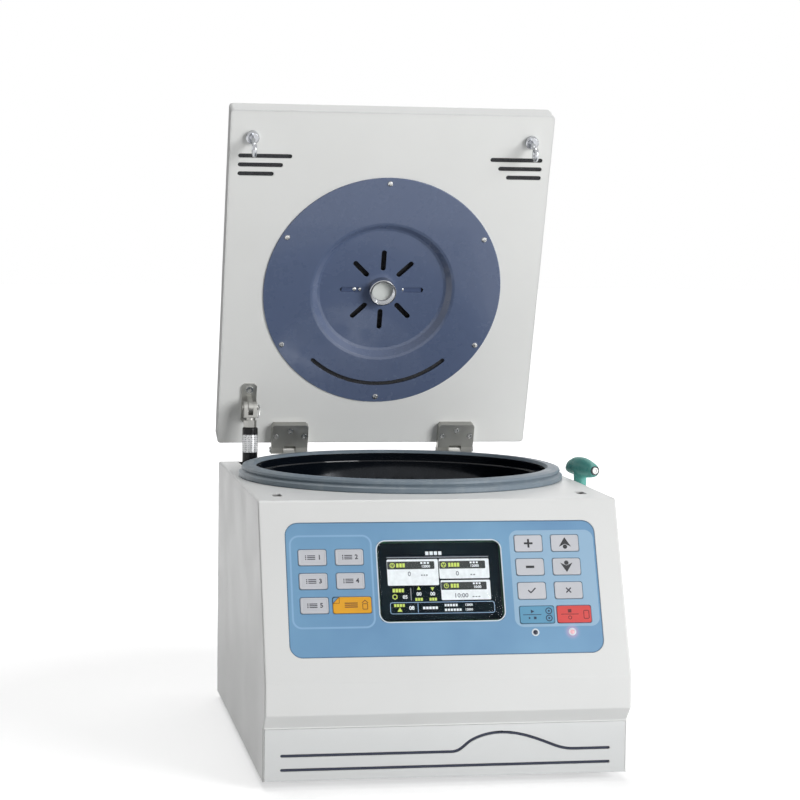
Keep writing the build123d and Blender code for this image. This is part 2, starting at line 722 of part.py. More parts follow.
def rotor_body():
    """Fixed-angle rotor, milled from solid: hollow cone top, tilted tube pockets, hollow underside."""
    rim_in = ROTOR_RIM_R
    rim_out = rim_in + ROTOR_RIM_W
    rim_z = cone_top(rim_in)
    relief = ROTOR_HUB_R + ROTOR_HUB_SKIRT
    hub_foot = ROTOR_HUB_R + ROTOR_FILLET
    hub_edge = ROTOR_EDGE / 2
    points = [
        (0, ROTOR_BASE_Z),
        (relief, ROTOR_BASE_Z),
        (relief, ROTOR_BASE_Z + ROTOR_SKIRT_RISE),
        (relief + ROTOR_FILLET, ROTOR_BASE_Z + ROTOR_WEB_RISE),
        (relief + ROTOR_WEB_W, ROTOR_BASE_Z + ROTOR_WEB_RISE),
        (ROTOR_R - ROTOR_WEB_W, ROTOR_BASE_Z + ROTOR_KEEL_RISE),
        (ROTOR_R - ROTOR_KEEL_IN, ROTOR_BASE_Z + ROTOR_KEEL_DIP),
        (ROTOR_R - ROTOR_KEEL_OUT, ROTOR_BASE_Z + ROTOR_KEEL_RISE),
        (ROTOR_R, ROTOR_BASE_Z + ROTOR_SIDE_RISE),
        (ROTOR_R, ROTOR_SHOULDER_Z),
        (rim_out, rim_z - ROTOR_EDGE),
        (rim_out - ROTOR_EDGE, rim_z),
        (rim_in, rim_z),
        (hub_foot, cone_top(hub_foot)),
        (ROTOR_HUB_R, cone_top(hub_foot) + hub_edge),
        (ROTOR_HUB_R, ROTOR_HUB_TOP_Z - hub_edge),
        (ROTOR_HUB_R - hub_edge, ROTOR_HUB_TOP_Z),
        (0, ROTOR_HUB_TOP_Z),
    ]
    rotor = revolved(points)
    pocket = Pos(0, 0, (POCKET_OVERCUT - POCKET_L) / 2) * Cylinder(POCKET_R, POCKET_L + POCKET_OVERCUT)
    pocket += Pos(0, 0, -POCKET_L) * Sphere(POCKET_R)
    for i in range(ROTOR_POCKETS):
        tilted = Pos(POCKET_MOUTH_R, 0, POCKET_MOUTH_Z) * Rot(0, -POCKET_DEG, 0) * pocket
        rotor -= Rot(0, 0, i * 360.0 / ROTOR_POCKETS) * tilted
    rotor -= cyl_z(SPINDLE_R + SEAT, ROTOR_BASE_Z - 1, ROTOR_BASE_Z + ROTOR_FOOT_H)
    rotor -= shaft_nose(SEAT)
    rotor -= cyl_z(NUT_THREAD_R + SEAT, SPINDLE_TOP_Z - 1, ROTOR_HUB_TOP_Z + 1)
    return rotor


def rotor_nut():
    """Round clamp nut with grip flutes and a hexagon socket for the rotor key."""
    low = ROTOR_HUB_TOP_Z
    nut = cyl_z(NUT_R, low, low + NUT_H)
    nut = chamfer(nut.edges().group_by(Axis.Z)[-1], NUT_EDGE)
    for x, y in polar(NUT_FLUTES, NUT_R + NUT_FLUTE_OUT):
        nut -= cyl_z(NUT_FLUTE_R, low + NUT_COLLAR_H, low + NUT_H + 1, x, y)
    floor = low + NUT_H - NUT_SOCKET_DEPTH
    nut -= cyl_z(NUT_THREAD_R + SEAT, low - 1, floor)
    socket = RegularPolygon(TOOL_HEX_AF / 2 + GAP, 6, major_radius=False)
    nut -= extrude(Plane.XY.offset(floor - 1) * socket, NUT_SOCKET_DEPTH + 2)
    return nut


def control_board():
    """Keypad circuit board on standoffs, with a low switch under each key."""
    width = PANEL_W + 2 * BOARD_OVER
    height = PANEL_H + 2 * BOARD_OVER
    board = rounded_slab(width, height, BOARD_POST_R, BOARD_DEPTH, BOARD_DEPTH + BOARD_T, 0, PANEL_MID)
    post_x = width / 2 - BOARD_POST_IN
    post_y = height / 2 - BOARD_POST_IN
    for x in (-post_x, 0, post_x):
        for drop in (PANEL_MID - post_y, PANEL_MID + post_y):
            post = Pos(x, -drop) * Circle(BOARD_POST_R)
            board += extrude(front_plane(BOARD_DEPTH) * post, BOARD_DEPTH - SHEET)
    switch_face = PANEL_INSET + PANEL_T + GAP + KEY_FLANGE_T + KEY_TRAVEL + GAP
    for x, drop, _, _ in KEYS.values():
        board += rounded_slab(SWITCH_W, SWITCH_W, 1, switch_face, BOARD_DEPTH, x, drop)
    return board


def keypad_overlay():
    """Blue front sheet with a window for the display, the keys and the two lamps."""
    back = PANEL_INSET + PANEL_T
    sheet = rounded_slab(PANEL_W, PANEL_H, PANEL_R, PANEL_INSET, back, 0, PANEL_MID)
    sheet -= rounded_slab(SCREEN_W, SCREEN_H, SCREEN_R, 0, back + 1, SCREEN_X, SCREEN_MID)
    for x, drop, width, height in KEYS.values():
        sheet -= rounded_slab(width + 2 * GAP, height + 2 * GAP, KEY_R + GAP, 0, back + 1, x, drop)
    for x in LED_X:
        sheet -= extrude(front_plane(back + 1) * (Pos(x, -LED_DROP) * Circle(LED_R + SEAT)), back + 1)
    return sheet


def display_window():
    """Clear window seated in the overlay."""
    back = PANEL_INSET + WINDOW_T
    return rounded_slab(
        SCREEN_W - 2 * SEAT, SCREEN_H - 2 * SEAT, SCREEN_R, PANEL_INSET, back, SCREEN_X, SCREEN_MID
    )


def display_module():
    """Liquid crystal display on the board behind the window."""
    front = PANEL_INSET + WINDOW_T
    width, height = SCREEN_W - 2 * MODULE_MARGIN, SCREEN_H - 2 * MODULE_MARGIN
    return rounded_slab(width, height, MODULE_MARGIN, front, BOARD_DEPTH, SCREEN_X, SCREEN_MID)


def status_lamps():
    """Two small lamps that stand on the board and fill the holes of the overlay."""
    lamps = []
    for x in LED_X:
        disc = Pos(x, -LED_DROP) * Circle(LED_R)
        lamps.append(extrude(front_plane(BOARD_DEPTH) * disc, BOARD_DEPTH - PANEL_INSET + LED_PROUD))
    return joined(lamps)


def key_cap(x, drop, width, height):
    """Key with a flange behind the overlay that keeps it in."""
    back = PANEL_INSET + PANEL_T + GAP
    cap = rounded_slab(width, height, KEY_R, PANEL_INSET - KEY_PROUD, back, x, drop)
    outward = Axis((0, 0, 0), tuple(front_plane().z_dir))
    cap = chamfer(cap.faces().sort_by(outward)[-1].edges(), KEY_EDGE)
    flange = rounded_slab(
        width + 2 * KEY_FLANGE, height + 2 * KEY_FLANGE, KEY_R, back, back + KEY_FLANGE_T, x, drop
    )
    return cap + flange


def lock_housings():
    """Two lock bodies under the top deck, each with a well for the striker eye."""
    solids = []
    for side in (-1, 1):
        body = box_between(
            (-LOCK_BODY_X / 2, -LOCK_BODY_Y / 2, UNDER_TOP - LOCK_BODY_H),
            (LOCK_BODY_X / 2, LOCK_BODY_Y / 2, UNDER_TOP),
        )
        body -= box_between(
            (-LOCK_SLOT_W / 2, -LOCK_SLOT_L / 2, UNDER_TOP - LOCK_BODY_H + LOCK_FLOOR_T),
            (LOCK_SLOT_W / 2, LOCK_SLOT_L / 2, UNDER_TOP + 1),
        )
        body -= cyl_x(CATCH_R + RUNNING, LOCK_BODY_X + 2, 0, LOCK_EYE_Z)
        solids.append(Pos(side * LOCK_X, STRIKER_EYE_Y, 0) * body)
    return joined(solids)


def lock_catch(side):
    """Sliding catch pin with its drive head on the inner side of the lock body."""
    inner_face = LOCK_X - LOCK_BODY_X / 2
    tip = LOCK_X - LOCK_SLOT_W / 2 - CATCH_BACK
    head = inner_face - CATCH_TRAVEL - CATCH_REST
    pin = cyl_x(CATCH_R, tip - head, 0, LOCK_EYE_Z, (tip + head) / 2)
    pin += cyl_x(CATCH_HEAD_R, CATCH_HEAD_L, 0, LOCK_EYE_Z, head - CATCH_HEAD_L / 2)
    turn = 0 if side > 0 else 180
    return Rot(0, 0, turn) * (Pos(0, side * STRIKER_EYE_Y, 0) * pin)


def hinge_brackets():
    """Two rear plates, each with a gooseneck tongue that rises to the hinge pin."""
    solids = []
    high = TOP_Z - REAR_EDGE_R
    low = high - HINGE_PLATE_H
    outer = CASE_REAR_Y + HINGE_PLATE_T
    near = HINGE_Y - HINGE_KNUCKLE_R
    far = HINGE_Y + HINGE_KNUCKLE_R
    for side in (-1, 1):
        plate = box_between((-HINGE_W / 2, CASE_REAR_Y, low), (HINGE_W / 2, outer, high))
        plate = chamfer(plate.edges().filter_by(Axis.Y), 3)
        web = Plane.YZ * make_face(Polyline(
            (CASE_REAR_Y + 1, low + 8),
            (CASE_REAR_Y + 1, high),
            (outer, high),
            (near, HINGE_Z - HINGE_NOTCH_CLEAR - HINGE_KNUCKLE_R),
            (near, HINGE_Z),
            (far, HINGE_Z),
            (far, HINGE_Z - 12),
            (outer + 5, low + 8),
            close=True))
        tongue = extrude(web, HINGE_TONGUE_W / 2, both=True)
        tongue += cyl_x(HINGE_KNUCKLE_R, HINGE_TONGUE_W, HINGE_Y, HINGE_Z)
        bracket = plate + tongue
        bracket -= cyl_x(HINGE_PIN_R + SEAT, HINGE_W, HINGE_Y, HINGE_Z)
        solids.append(Pos(side * HINGE_X, 0, 0) * bracket)
    return joined(solids)


def hinge_pins():
    """Two hinge pins, headed at their outer ends."""
    solids = []
    for side in (-1, 1):
        pin = cyl_x(HINGE_PIN_R, HINGE_W + 2, HINGE_Y, HINGE_Z, side * HINGE_X)
        head_x = HINGE_X + HINGE_W / 2 + GAP + 0.75
        pin += cyl_x(HINGE_PIN_R + 1.2, 1.5, HINGE_Y, HINGE_Z, side * head_x)
        solids.append(pin)
    return joined(solids)


def hinge_blocks():
    """Two milled blocks on the lid face, each with two knuckles round the pin."""
    solids = []
    low = LID_FACE_Z - HINGE_BLOCK_T
    front = LID_REAR_Y - HINGE_BLOCK_L
    lip = LID_REAR_Y + 0.5
    profile = Plane.YZ * make_face(Polyline(
        (front, low),
        (HINGE_Y - HINGE_KNUCKLE_R - 1, low),
        (HINGE_Y, HINGE_Z - HINGE_KNUCKLE_R),
        (HINGE_Y, HINGE_Z + 2),
        (lip, HINGE_Z + 2),
        (lip, LID_FACE_Z),
        (front, LID_FACE_Z),
        close=True))
    notch = HINGE_TONGUE_W / 2 + GAP
    notch_floor = HINGE_Y - HINGE_KNUCKLE_R - HINGE_NOTCH_CLEAR
    for side in (-1, 1):
        block = extrude(profile, HINGE_W / 2, both=True)
        block = chamfer([e for e in block.edges().filter_by(Axis.Z) if e.center().Y < front + 1], 2.5)
        block += cyl_x(HINGE_KNUCKLE_R, HINGE_W, HINGE_Y, HINGE_Z)
        block -= box_between((-notch, notch_floor, low - 1), (notch, HINGE_Y + 10, HINGE_Z + 10))
        block -= cyl_x(HINGE_PIN_R + RUNNING, HINGE_W + 2, HINGE_Y, HINGE_Z)
        for x, back in hinge_screw_spots():
            block -= cyl_z(SCREW_HEAD_R + 0.4, low - 1, low + SCREW_SINK, x, LID_REAR_Y - back)
        solids.append(Pos(side * HINGE_X, 0, 0) * block)
    return joined(opened(s) for s in solids)


def hinge_screw_spots():
    """Screw places on one hinge block: distance from its middle and from the lid's rear edge."""
    return (
        (-HINGE_SCREW_X, HINGE_SCREW_SIDE_BACK),
        (0, HINGE_SCREW_MID_BACK),
        (HINGE_SCREW_X, HINGE_SCREW_SIDE_BACK),
    )


def socket_screw(radius, low, high, x, y):
    """Cap screw head with a hexagon socket in its lower face."""
    head = cyl_z(radius, low, high, x, y)
    socket = Plane(origin=(x, y, low - 1)) * RegularPolygon(radius * 0.45, 6, major_radius=False)
    return head - extrude(socket, radius * 0.6 + 1)


def lid_screws():
    """Cap screws of the hinge blocks and of the strut plate."""
    solids = []
    low = LID_FACE_Z - HINGE_BLOCK_T
    for side in (-1, 1):
        for x, back in hinge_screw_spots():
            spot = (side * HINGE_X + x, LID_REAR_Y - back)
            solids.append(socket_screw(SCREW_HEAD_R, low - 0.4, low + SCREW_SINK, *spot))
    face = LID_FACE_Z - STRUT_PLATE_T
    spot = (STRUT_X, LID_REAR_Y - STRUT_SCREW_BACK)
    solids.append(socket_screw(SCREW_HEAD_R + 1.2, face - 2.4, face, *spot))
    return joined(opened(s) for s in solids)


def lid_cover():
    """Outer lid pan with rounded edges, open towards the chamber."""
    mid_y = LID_REAR_Y - LID_L / 2
    block = extrude(
        Plane(origin=(0, mid_y, LID_FACE_Z)) * RectangleRounded(LID_W, LID_L, LID_CORNER_R), LID_T
    )
    block = fillet(block.faces().sort_by(Axis.Z)[-1].edges(), LID_EDGE_R)
    hollow = extrude(
        Plane(origin=(0, mid_y, LID_FACE_Z - 1))
        * RectangleRounded(LID_W - 2 * LID_SHEET, LID_L - 2 * LID_SHEET, LID_CORNER_R - LID_SHEET),
        LID_T + 1 - LID_SHEET,
    )
    return opened(block - hollow)


def lid_slot_rows():
    """Middle, length and distance of each vent slot in the lid face, for one side."""
    rows = []
    for i, length in enumerate(LID_SLOT_LENGTHS):
        rows.append((LID_SLOT_OUTER_X - length / 2, LID_SLOT_FIRST_Y + i * LID_SLOT_PITCH, length))
    return rows


def lid_liner():
    """Inner lid pan with its vent slots and the hole that the dish covers."""
    mid_y = LID_REAR_Y - LID_L / 2
    width = LID_W - 2 * LID_SHEET - 2 * SEAT
    length = LID_L - 2 * LID_SHEET - 2 * SEAT
    corner = LID_CORNER_R - LID_SHEET
    fold = 14.0
    tray = extrude(Plane(origin=(0, mid_y, LID_FACE_Z)) * RectangleRounded(width, length, corner), fold)
    inner = RectangleRounded(width - 2 * LID_SHEET, length - 2 * LID_SHEET, corner - LID_SHEET)
    tray -= extrude(Plane(origin=(0, mid_y, LID_FACE_Z + LID_SHEET)) * inner, fold)
    tray -= cyl_z(DISH_STEP_OUT_R + 6, LID_FACE_Z - 1, LID_FACE_Z + LID_SHEET + 1)
    for side in (-1, 1):
        for x, y, long in lid_slot_rows():
            slot = Pos(side * x, y) * SlotOverall(long, LID_SLOT_W)
            tray -= extrude(Plane.XY.offset(LID_FACE_Z - 1) * slot, LID_SHEET + 2)
    arc = CenterArc((0, 0), DISH_ARC_R, 90 - DISH_ARC_HALF_DEG, 2 * DISH_ARC_HALF_DEG)
    tray -= extrude(Plane.XY.offset(LID_FACE_Z - 1) * SlotArc(arc, DISH_ARC_W + 2), LID_SHEET + 2)
    return opened(tray)


def lid_filler():
    """Sound-damping foam between the two lid pans, hollow behind the dish."""
    mid_y = LID_REAR_Y - LID_L / 2
    inset = 4 * LID_SHEET
    low = LID_FACE_Z + LID_SHEET + SEAT
    high = LID_FACE_Z + LID_T - LID_SHEET - SEAT
    block = RectangleRounded(LID_W - 2 * inset, LID_L - 2 * inset, LID_CORNER_R)
    foam = extrude(Plane(origin=(0, mid_y, low)) * block, high - low)
    foam -= cyl_z(DISH_STEP_OUT_R + 8, low - 1, LID_FACE_Z + DISH_DEPTH + 6)
    return opened(foam)


def lid_dish():
    """Pressed round plate: flat rim, curved step, recessed middle with vents and an arc slot."""
    face = LID_FACE_Z
    under = face - DISH_T
    deep = face + DISH_DEPTH
    quarter = (DISH_STEP_OUT_R - DISH_STEP_IN_R) / 4
    points = [
        (0, deep),
        (DISH_STEP_IN_R, deep),
        (DISH_STEP_IN_R + quarter, deep - 1),
        (DISH_STEP_OUT_R - quarter, face + 1),
        (DISH_STEP_OUT_R, face),
        (DISH_R, face),
        (DISH_R, under + 0.5),
        (DISH_R - 0.5, under),
        (DISH_STEP_OUT_R, under),
        (DISH_STEP_OUT_R - quarter, under + 1),
        (DISH_STEP_IN_R + quarter, deep - DISH_T - 1),
        (DISH_STEP_IN_R, deep - DISH_T),
        (0, deep - DISH_T),
    ]
    dish = revolved(points)
    low = deep - DISH_T - 1
    vent_l = DISH_VENT_OUT_R - DISH_VENT_IN_R
    vent_mid = (DISH_VENT_OUT_R + DISH_VENT_IN_R) / 2
    for i in range(DISH_VENTS):
        vent = Rot(0, 0, i * 360.0 / DISH_VENTS) * Pos(vent_mid, 0) * SlotOverall(vent_l, DISH_VENT_W)
        dish -= extrude(Plane.XY.offset(low) * vent, DISH_T + 2)
    arc = CenterArc((0, 0), DISH_ARC_R, 90 - DISH_ARC_HALF_DEG, 2 * DISH_ARC_HALF_DEG)
    dish -= extrude(Plane.XY.offset(under - 1) * SlotArc(arc, DISH_ARC_W), DISH_T + 2)
    dish -= cyl_z(PLUG_TOP_R - 3, low, deep + 1)
    return opened(dish)


def dish_screws():
    """Cross-head screws round the rim of the dish."""
    solids = []
    under = LID_FACE_Z - DISH_T
    for x, y in polar(DISH_SCREWS, DISH_SCREW_PCR, 90):
        head = revolve(Plane.XZ * make_face(Polyline(
            (0, under),
            (DISH_SCREW_R, under),
            (DISH_SCREW_TOP_R, under - DISH_SCREW_SIDE_H),
            (0, under - DISH_SCREW_H),
            close=True)), Axis.Z)
        head -= Pos(0, 0, under - CROSS_MID) * Box(CROSS_L, CROSS_W, CROSS_DEPTH)
        head -= Pos(0, 0, under - CROSS_MID) * Box(CROSS_W, CROSS_L, CROSS_DEPTH)
        solids.append(Pos(x, y, 0) * head)
    return joined(opened(s) for s in solids)


def centre_plug():
    """Stepped white sight plug in the middle of the dish."""
    seat = LID_FACE_Z + DISH_DEPTH - DISH_T
    points = [
        (0, seat + DISH_T + 3),
        (PLUG_TOP_R - 3 - SEAT, seat + DISH_T + 3),
        (PLUG_TOP_R - 3 - SEAT, seat),
        (PLUG_R, seat),
        (PLUG_R, seat - 3),
        (PLUG_R - 1.5, seat - 4.5),
        (PLUG_TOP_R + 1, seat - 4.5),
        (PLUG_TOP_R + 1, seat - 6),
        (PLUG_TOP_R, seat - 7),
        (PLUG_TOP_R, seat - PLUG_H + 1.5),
        (PLUG_TOP_R - 1.5, seat - PLUG_H),
        (0, seat - PLUG_H),
    ]
    return opened(revolved(points))


def rod_between(start, end, radius):
    """Round rod with a rounded start, between two points."""
    run = Vector(end) - Vector(start)
    rod = Solid.make_cylinder(radius, run.length, Plane(origin=start, z_dir=run))
    return rod + Pos(*start) * Sphere(radius)


def lid_strikers():
    """Two chromed strikers: a boss, a bent shank and the eye that the catch enters."""
    solids = []
    boss_low = LID_FACE_Z - STRIKER_BOSS_H
    bend_z = boss_low - STRIKER_NECK
    for side in (-1, 1):
        x = side * LOCK_X
        boss = cyl_z(STRIKER_BOSS_R, boss_low, LID_FACE_Z, x, STRIKER_BASE_Y)
        boss = chamfer(boss.edges().group_by(Axis.Z)[0], STRIKER_BOSS_EDGE)
        shank = cyl_z(STRIKER_WIRE_R, bend_z, boss_low + 1, x, STRIKER_BASE_Y)
        meet = (x, STRIKER_EYE_Y - STRIKER_EYE_R / 2, LOCK_EYE_Z + STRIKER_EYE_R * 0.87)
        shank += rod_between((x, STRIKER_BASE_Y, bend_z), meet, STRIKER_WIRE_R)
        eye = Pos(x, STRIKER_EYE_Y, LOCK_EYE_Z) * Rot(0, 90, 0) * Torus(STRIKER_EYE_R, STRIKER_WIRE_R)
        solids.append(boss + shank + eye)
    return joined(opened(s) for s in solids)


def strut_bracket():
    """Plate on the lid face with the ear that carries the strut, and its cross pin."""
    eye_y = LID_REAR_Y - STRUT_EYE_BACK
    eye_z = LID_FACE_Z - STRUT_EYE_DROP
    low = LID_FACE_Z - STRUT_PLATE_T
    plate = box_between(
        (STRUT_X - STRUT_PLATE_W / 2, LID_REAR_Y - STRUT_PLATE_LAST, low),
        (STRUT_X + STRUT_PLATE_W / 2, LID_REAR_Y - STRUT_PLATE_FIRST, LID_FACE_Z),
    )
    plate = chamfer(plate.edges().filter_by(Axis.Z), STRUT_CORNER)
    ear = box_between(
        (STRUT_X - STRUT_EAR_T / 2, eye_y - STRUT_EAR_R, eye_z),
        (STRUT_X + STRUT_EAR_T / 2, eye_y + STRUT_EAR_R, LID_FACE_Z - 1),
    )
    ear += cyl_x(STRUT_EAR_R, STRUT_EAR_T, eye_y, eye_z, STRUT_X)
    pin = cyl_x(STRUT_PIN_R, STRUT_FORK_W + 4, eye_y, eye_z, STRUT_X)
    return opened(plate + ear + pin)


def strut_line():
    """Plane at the strut's upper pin in the rest pose, Z down the strut, and the pin distance."""
    shut = Vertex(STRUT_X, LID_REAR_Y - STRUT_EYE_BACK, LID_FACE_Z - STRUT_EYE_DROP)
    eye = shut.rotate(HINGE_AXIS, -LID_REST_DEG).center()
    foot = Vector(STRUT_X, STRUT_FOOT_Y, STRUT_FOOT_Z)
    return Plane(origin=eye, x_dir=(1, 0, 0), z_dir=foot - eye), (foot - eye).length


def strut_clevis():
    """Fork over the lid ear, with its neck and the lock nut against the tube."""
    line, _ = strut_line()
    cheek_r = STRUT_EAR_R - 1
    slot_end = STRUT_EAR_R + 2 * GAP
    fork = box_between((-STRUT_FORK_W / 2, -cheek_r, 0), (STRUT_FORK_W / 2, cheek_r, slot_end + 3))
    fork += cyl_x(cheek_r, STRUT_FORK_W, 0, 0)
    slot = STRUT_EAR_T / 2 + GAP
    fork -= box_between((-slot, -20, -20), (slot, 20, slot_end))
    fork -= cyl_x(STRUT_PIN_R + RUNNING, STRUT_FORK_W + 2, 0, 0)
    fork += cyl_z(STRUT_NECK_R, slot_end + 2, STRUT_TUBE_TOP)
    nut = RegularPolygon(STRUT_NUT_AF / 2, 6, major_radius=False)
    fork += extrude(Plane.XY.offset(STRUT_TUBE_TOP - STRUT_NUT_H) * nut, STRUT_NUT_H)
    return line * fork


def strut_tube():
    """Gas strut cylinder with a rounded shoulder and a gland at its lower end."""
    line, _ = strut_line()
    tube = cyl_z(STRUT_TUBE_R, STRUT_TUBE_TOP, STRUT_TUBE_END)
    tube = fillet(tube.edges().group_by(Axis.Z)[0], STRUT_SHOULDER_R)
    inner = STRUT_TUBE_R - STRUT_TUBE_WALL
    tube -= cyl_z(inner, STRUT_TUBE_TOP + STRUT_PLUG_L, STRUT_TUBE_END - STRUT_GLAND_L)
    tube -= cyl_z(STRUT_ROD_R + RUNNING, STRUT_TUBE_END - STRUT_GLAND_L - 1, STRUT_TUBE_END + 1)
    return line * tube


def strut_rod():
    """Polished rod with a piston head inside the tube and an eye with a pin at its foot."""
    line, length = strut_line()
    top = STRUT_TUBE_END - STRUT_GLAND_L - STRUT_ROD_INSIDE
    rod = cyl_z(STRUT_ROD_R, top + 2, length - 3)
    rod += cyl_z(STRUT_TUBE_R - STRUT_TUBE_WALL - GAP, top, top + STRUT_PISTON_L)
    rod += cyl_x(STRUT_FOOT_EYE_R, STRUT_FOOT_EYE_T, 0, length)
    rod += cyl_x(STRUT_PIN_R, STRUT_FOOT_PIN_L, 0, length)
    return line * rod


def strut_anchor():
    """Two angle ears on the rear plate, each with a wide window for the strut's foot pin."""
    back = REAR_INNER_Y - SHEET
    window = STRUT_FOOT_FLOAT + STRUT_PIN_R
    height = 2 * (window + ANCHOR_RIM)
    low_y = STRUT_FOOT_Y - window - ANCHOR_RIM
    cheek_x = STRUT_FOOT_EYE_T / 2 + GAP
    ears = []
    for side in (-1, 1):
        sheet_x = STRUT_X + side * (cheek_x + ANCHOR_SHEET / 2)
        flange_x = STRUT_X + side * (cheek_x + ANCHOR_FLANGE / 2)
        ear = Pos(sheet_x, (low_y + back) / 2, STRUT_FOOT_Z) * Box(ANCHOR_SHEET, back - low_y, height)
        ear -= cyl_x(window, 2 * STRUT_FOOT_EYE_T, STRUT_FOOT_Y, STRUT_FOOT_Z, sheet_x)
        ear += Pos(flange_x, back - ANCHOR_SHEET / 2, STRUT_FOOT_Z) * Box(ANCHOR_FLANGE, ANCHOR_SHEET, height)
        ears.append(ear)
    return joined(ears)


def fan_frame():
    """Square axial fan housing on the rear plate, with three struts and a motor seat."""
    back = REAR_INNER_Y - SHEET
    front = back - FAN_DEPTH
    wall = Plane(origin=(FAN_X, back, FAN_Z), x_dir=(1, 0, 0), z_dir=(0, -1, 0))
    frame = extrude(wall * RectangleRounded(FAN_SIZE, FAN_SIZE, FAN_CORNER_R), FAN_DEPTH)
    frame -= cyl_y(FAN_BORE_R, FAN_DEPTH + 2, FAN_X, (front + back) / 2, FAN_Z)
    arm_y = front + FAN_ARM_T / 2
    for i in range(FAN_ARMS):
        arm = Pos(FAN_X, arm_y, FAN_Z) * Rot(0, i * 360.0 / FAN_ARMS, 0) * Pos(FAN_BORE_R / 2, 0, 0)
        frame += arm * Box(FAN_BORE_R + 2, FAN_ARM_T, FAN_ARM_W)
    frame += cyl_y(FAN_HUB_R, FAN_ARM_T, FAN_X, arm_y, FAN_Z)
    frame -= cyl_y(FAN_AXLE_R + RUNNING, 2 * FAN_DEPTH, FAN_X, front, FAN_Z)
    for dx in (-FAN_SCREW_AT, FAN_SCREW_AT):
        for dz in (-FAN_SCREW_AT, FAN_SCREW_AT):
            frame -= cyl_y(FAN_SCREW_R, 2 * FAN_DEPTH + 4, FAN_X + dx, front, FAN_Z + dz)
    return frame


def fan_impeller():
    """Hub with pitched blades and a stub axle in the fan frame."""
    back = REAR_INNER_Y - SHEET
    front = back - FAN_DEPTH
    hub_front = front + FAN_ARM_T + GAP
    hub_back = back - FAN_ARM_T
    mid = (hub_front + hub_back) / 2
    wheel = cyl_y(FAN_HUB_R, hub_back - hub_front, 0, mid, 0)
    for i in range(FAN_BLADES):
        blade = Pos((FAN_HUB_R + FAN_BLADE_R) / 2 - 1, mid, 0) * Rot(FAN_BLADE_DEG, 0, 0)
        blade = blade * Box(FAN_BLADE_R - FAN_HUB_R + 2, FAN_BLADE_W, FAN_BLADE_T)
        wheel += Rot(0, i * 360.0 / FAN_BLADES, 0) * blade
    wheel += cyl_y(FAN_AXLE_R, FAN_ARM_T + 2 * GAP, 0, front + 2, 0)
    return Pos(FAN_X, 0, FAN_Z) * wheel


def power_entry():
    """Mains inlet with a fuse drawer above its socket and the frame of the rocker switch."""
    face = REAR_INNER_Y + INLET_BEZEL_T
    bezel = box_between(
        (INLET_X - INLET_W / 2, REAR_INNER_Y, INLET_Z - INLET_H / 2),
        (INLET_X + INLET_W / 2, face, INLET_Z + INLET_H / 2),
    )
    bezel = chamfer(bezel.edges().filter_by(Axis.Y), INLET_CORNER)
    body = box_between(
        (INLET_X - INLET_BODY_W / 2, REAR_INNER_Y - INLET_BODY_D, INLET_Z - INLET_BODY_H / 2),
        (INLET_X + INLET_BODY_W / 2, REAR_INNER_Y, INLET_Z + INLET_BODY_H / 2),
    )
    unit = bezel + body
    socket_z = INLET_Z - INLET_HALF_PITCH
    wall = Plane(origin=(INLET_X, face + 1, socket_z), x_dir=(-1, 0, 0), z_dir=(0, 1, 0))
    outline = chamfer(Rectangle(SOCKET_W, SOCKET_H).vertices().group_by(Axis.Y)[-1], SOCKET_CHAMFER)
    unit -= extrude(wall * outline, -(SOCKET_D + 1))
    half_w, half_h = SOCKET_PIN_W / 2, SOCKET_PIN_H / 2
    for dx, dz in SOCKET_PINS:
        unit += box_between(
            (INLET_X + dx - half_w, face - SOCKET_D - 1, socket_z + dz - half_h),
            (INLET_X + dx + half_w, face - SOCKET_PIN_BACK, socket_z + dz + half_h),
        )
    rocker_z = rocker_height()
    pivot_y = face - ROCKER_SINK
    swing = math.hypot(ROCKER_R, ROCKER_SINK) + GAP
    well = cyl_x(ROCKER_R + GAP, ROCKER_W + 2 * GAP, pivot_y, rocker_z, INLET_X)
    well += box_between(
        (INLET_X - ROCKER_W / 2 - GAP, pivot_y, rocker_z - swing),
        (INLET_X + ROCKER_W / 2 + GAP, face + 1, rocker_z + swing),
    )
    unit -= well
    unit -= cyl_x(ROCKER_PIN_R + RUNNING, ROCKER_W + 5, pivot_y, rocker_z, INLET_X)
    return unit


def rocker_height():
    """Height of the rocker's pivot."""
    return INLET_Z + INLET_HALF_PITCH


def power_rocker():
    """Rocker with a shallow V face and its pivot pin, resting tipped to its off side."""
    pivot_y = REAR_INNER_Y + INLET_BEZEL_T - ROCKER_SINK
    low = math.radians(ROCKER_TILT)
    ridge = ROCKER_SINK + ROCKER_R * math.tan(low)
    outline = Plane.YZ * make_face([
        Polyline((0, ROCKER_R), (ridge, ROCKER_R), (ROCKER_SINK, 0), (ridge, -ROCKER_R), (0, -ROCKER_R)),
        ThreePointArc((0, -ROCKER_R), (-ROCKER_R, 0), (0, ROCKER_R)),
    ])
    body = extrude(outline, ROCKER_W / 2, both=True)
    body += cyl_x(ROCKER_PIN_R, ROCKER_W + 4, 0, 0)
    return Pos(INLET_X, pivot_y, rocker_height()) * Rot(-ROCKER_TILT, 0, 0) * body


def drive_inverter():
    """Motor drive in a finned box on the floor, left of the motor."""
    left = INVERTER_FROM_SIDE - HALF_W
    right = left + INVERTER_W
    unit = box_between((left, INVERTER_FRONT_Y, PAN_TOP_Z), (right, INVERTER_REAR_Y, INVERTER_TOP_Z))
    floor = INVERTER_TOP_Z - INVERTER_GROOVE_H
    for i in range(INVERTER_FINS):
        y = INVERTER_FRONT_Y + INVERTER_PITCH - INVERTER_GROOVE_W + i * INVERTER_PITCH
        groove = box_between((left - 1, y, floor), (right + 1, y + INVERTER_GROOVE_W, INVERTER_TOP_Z + 1))
        unit -= groove
    return unit


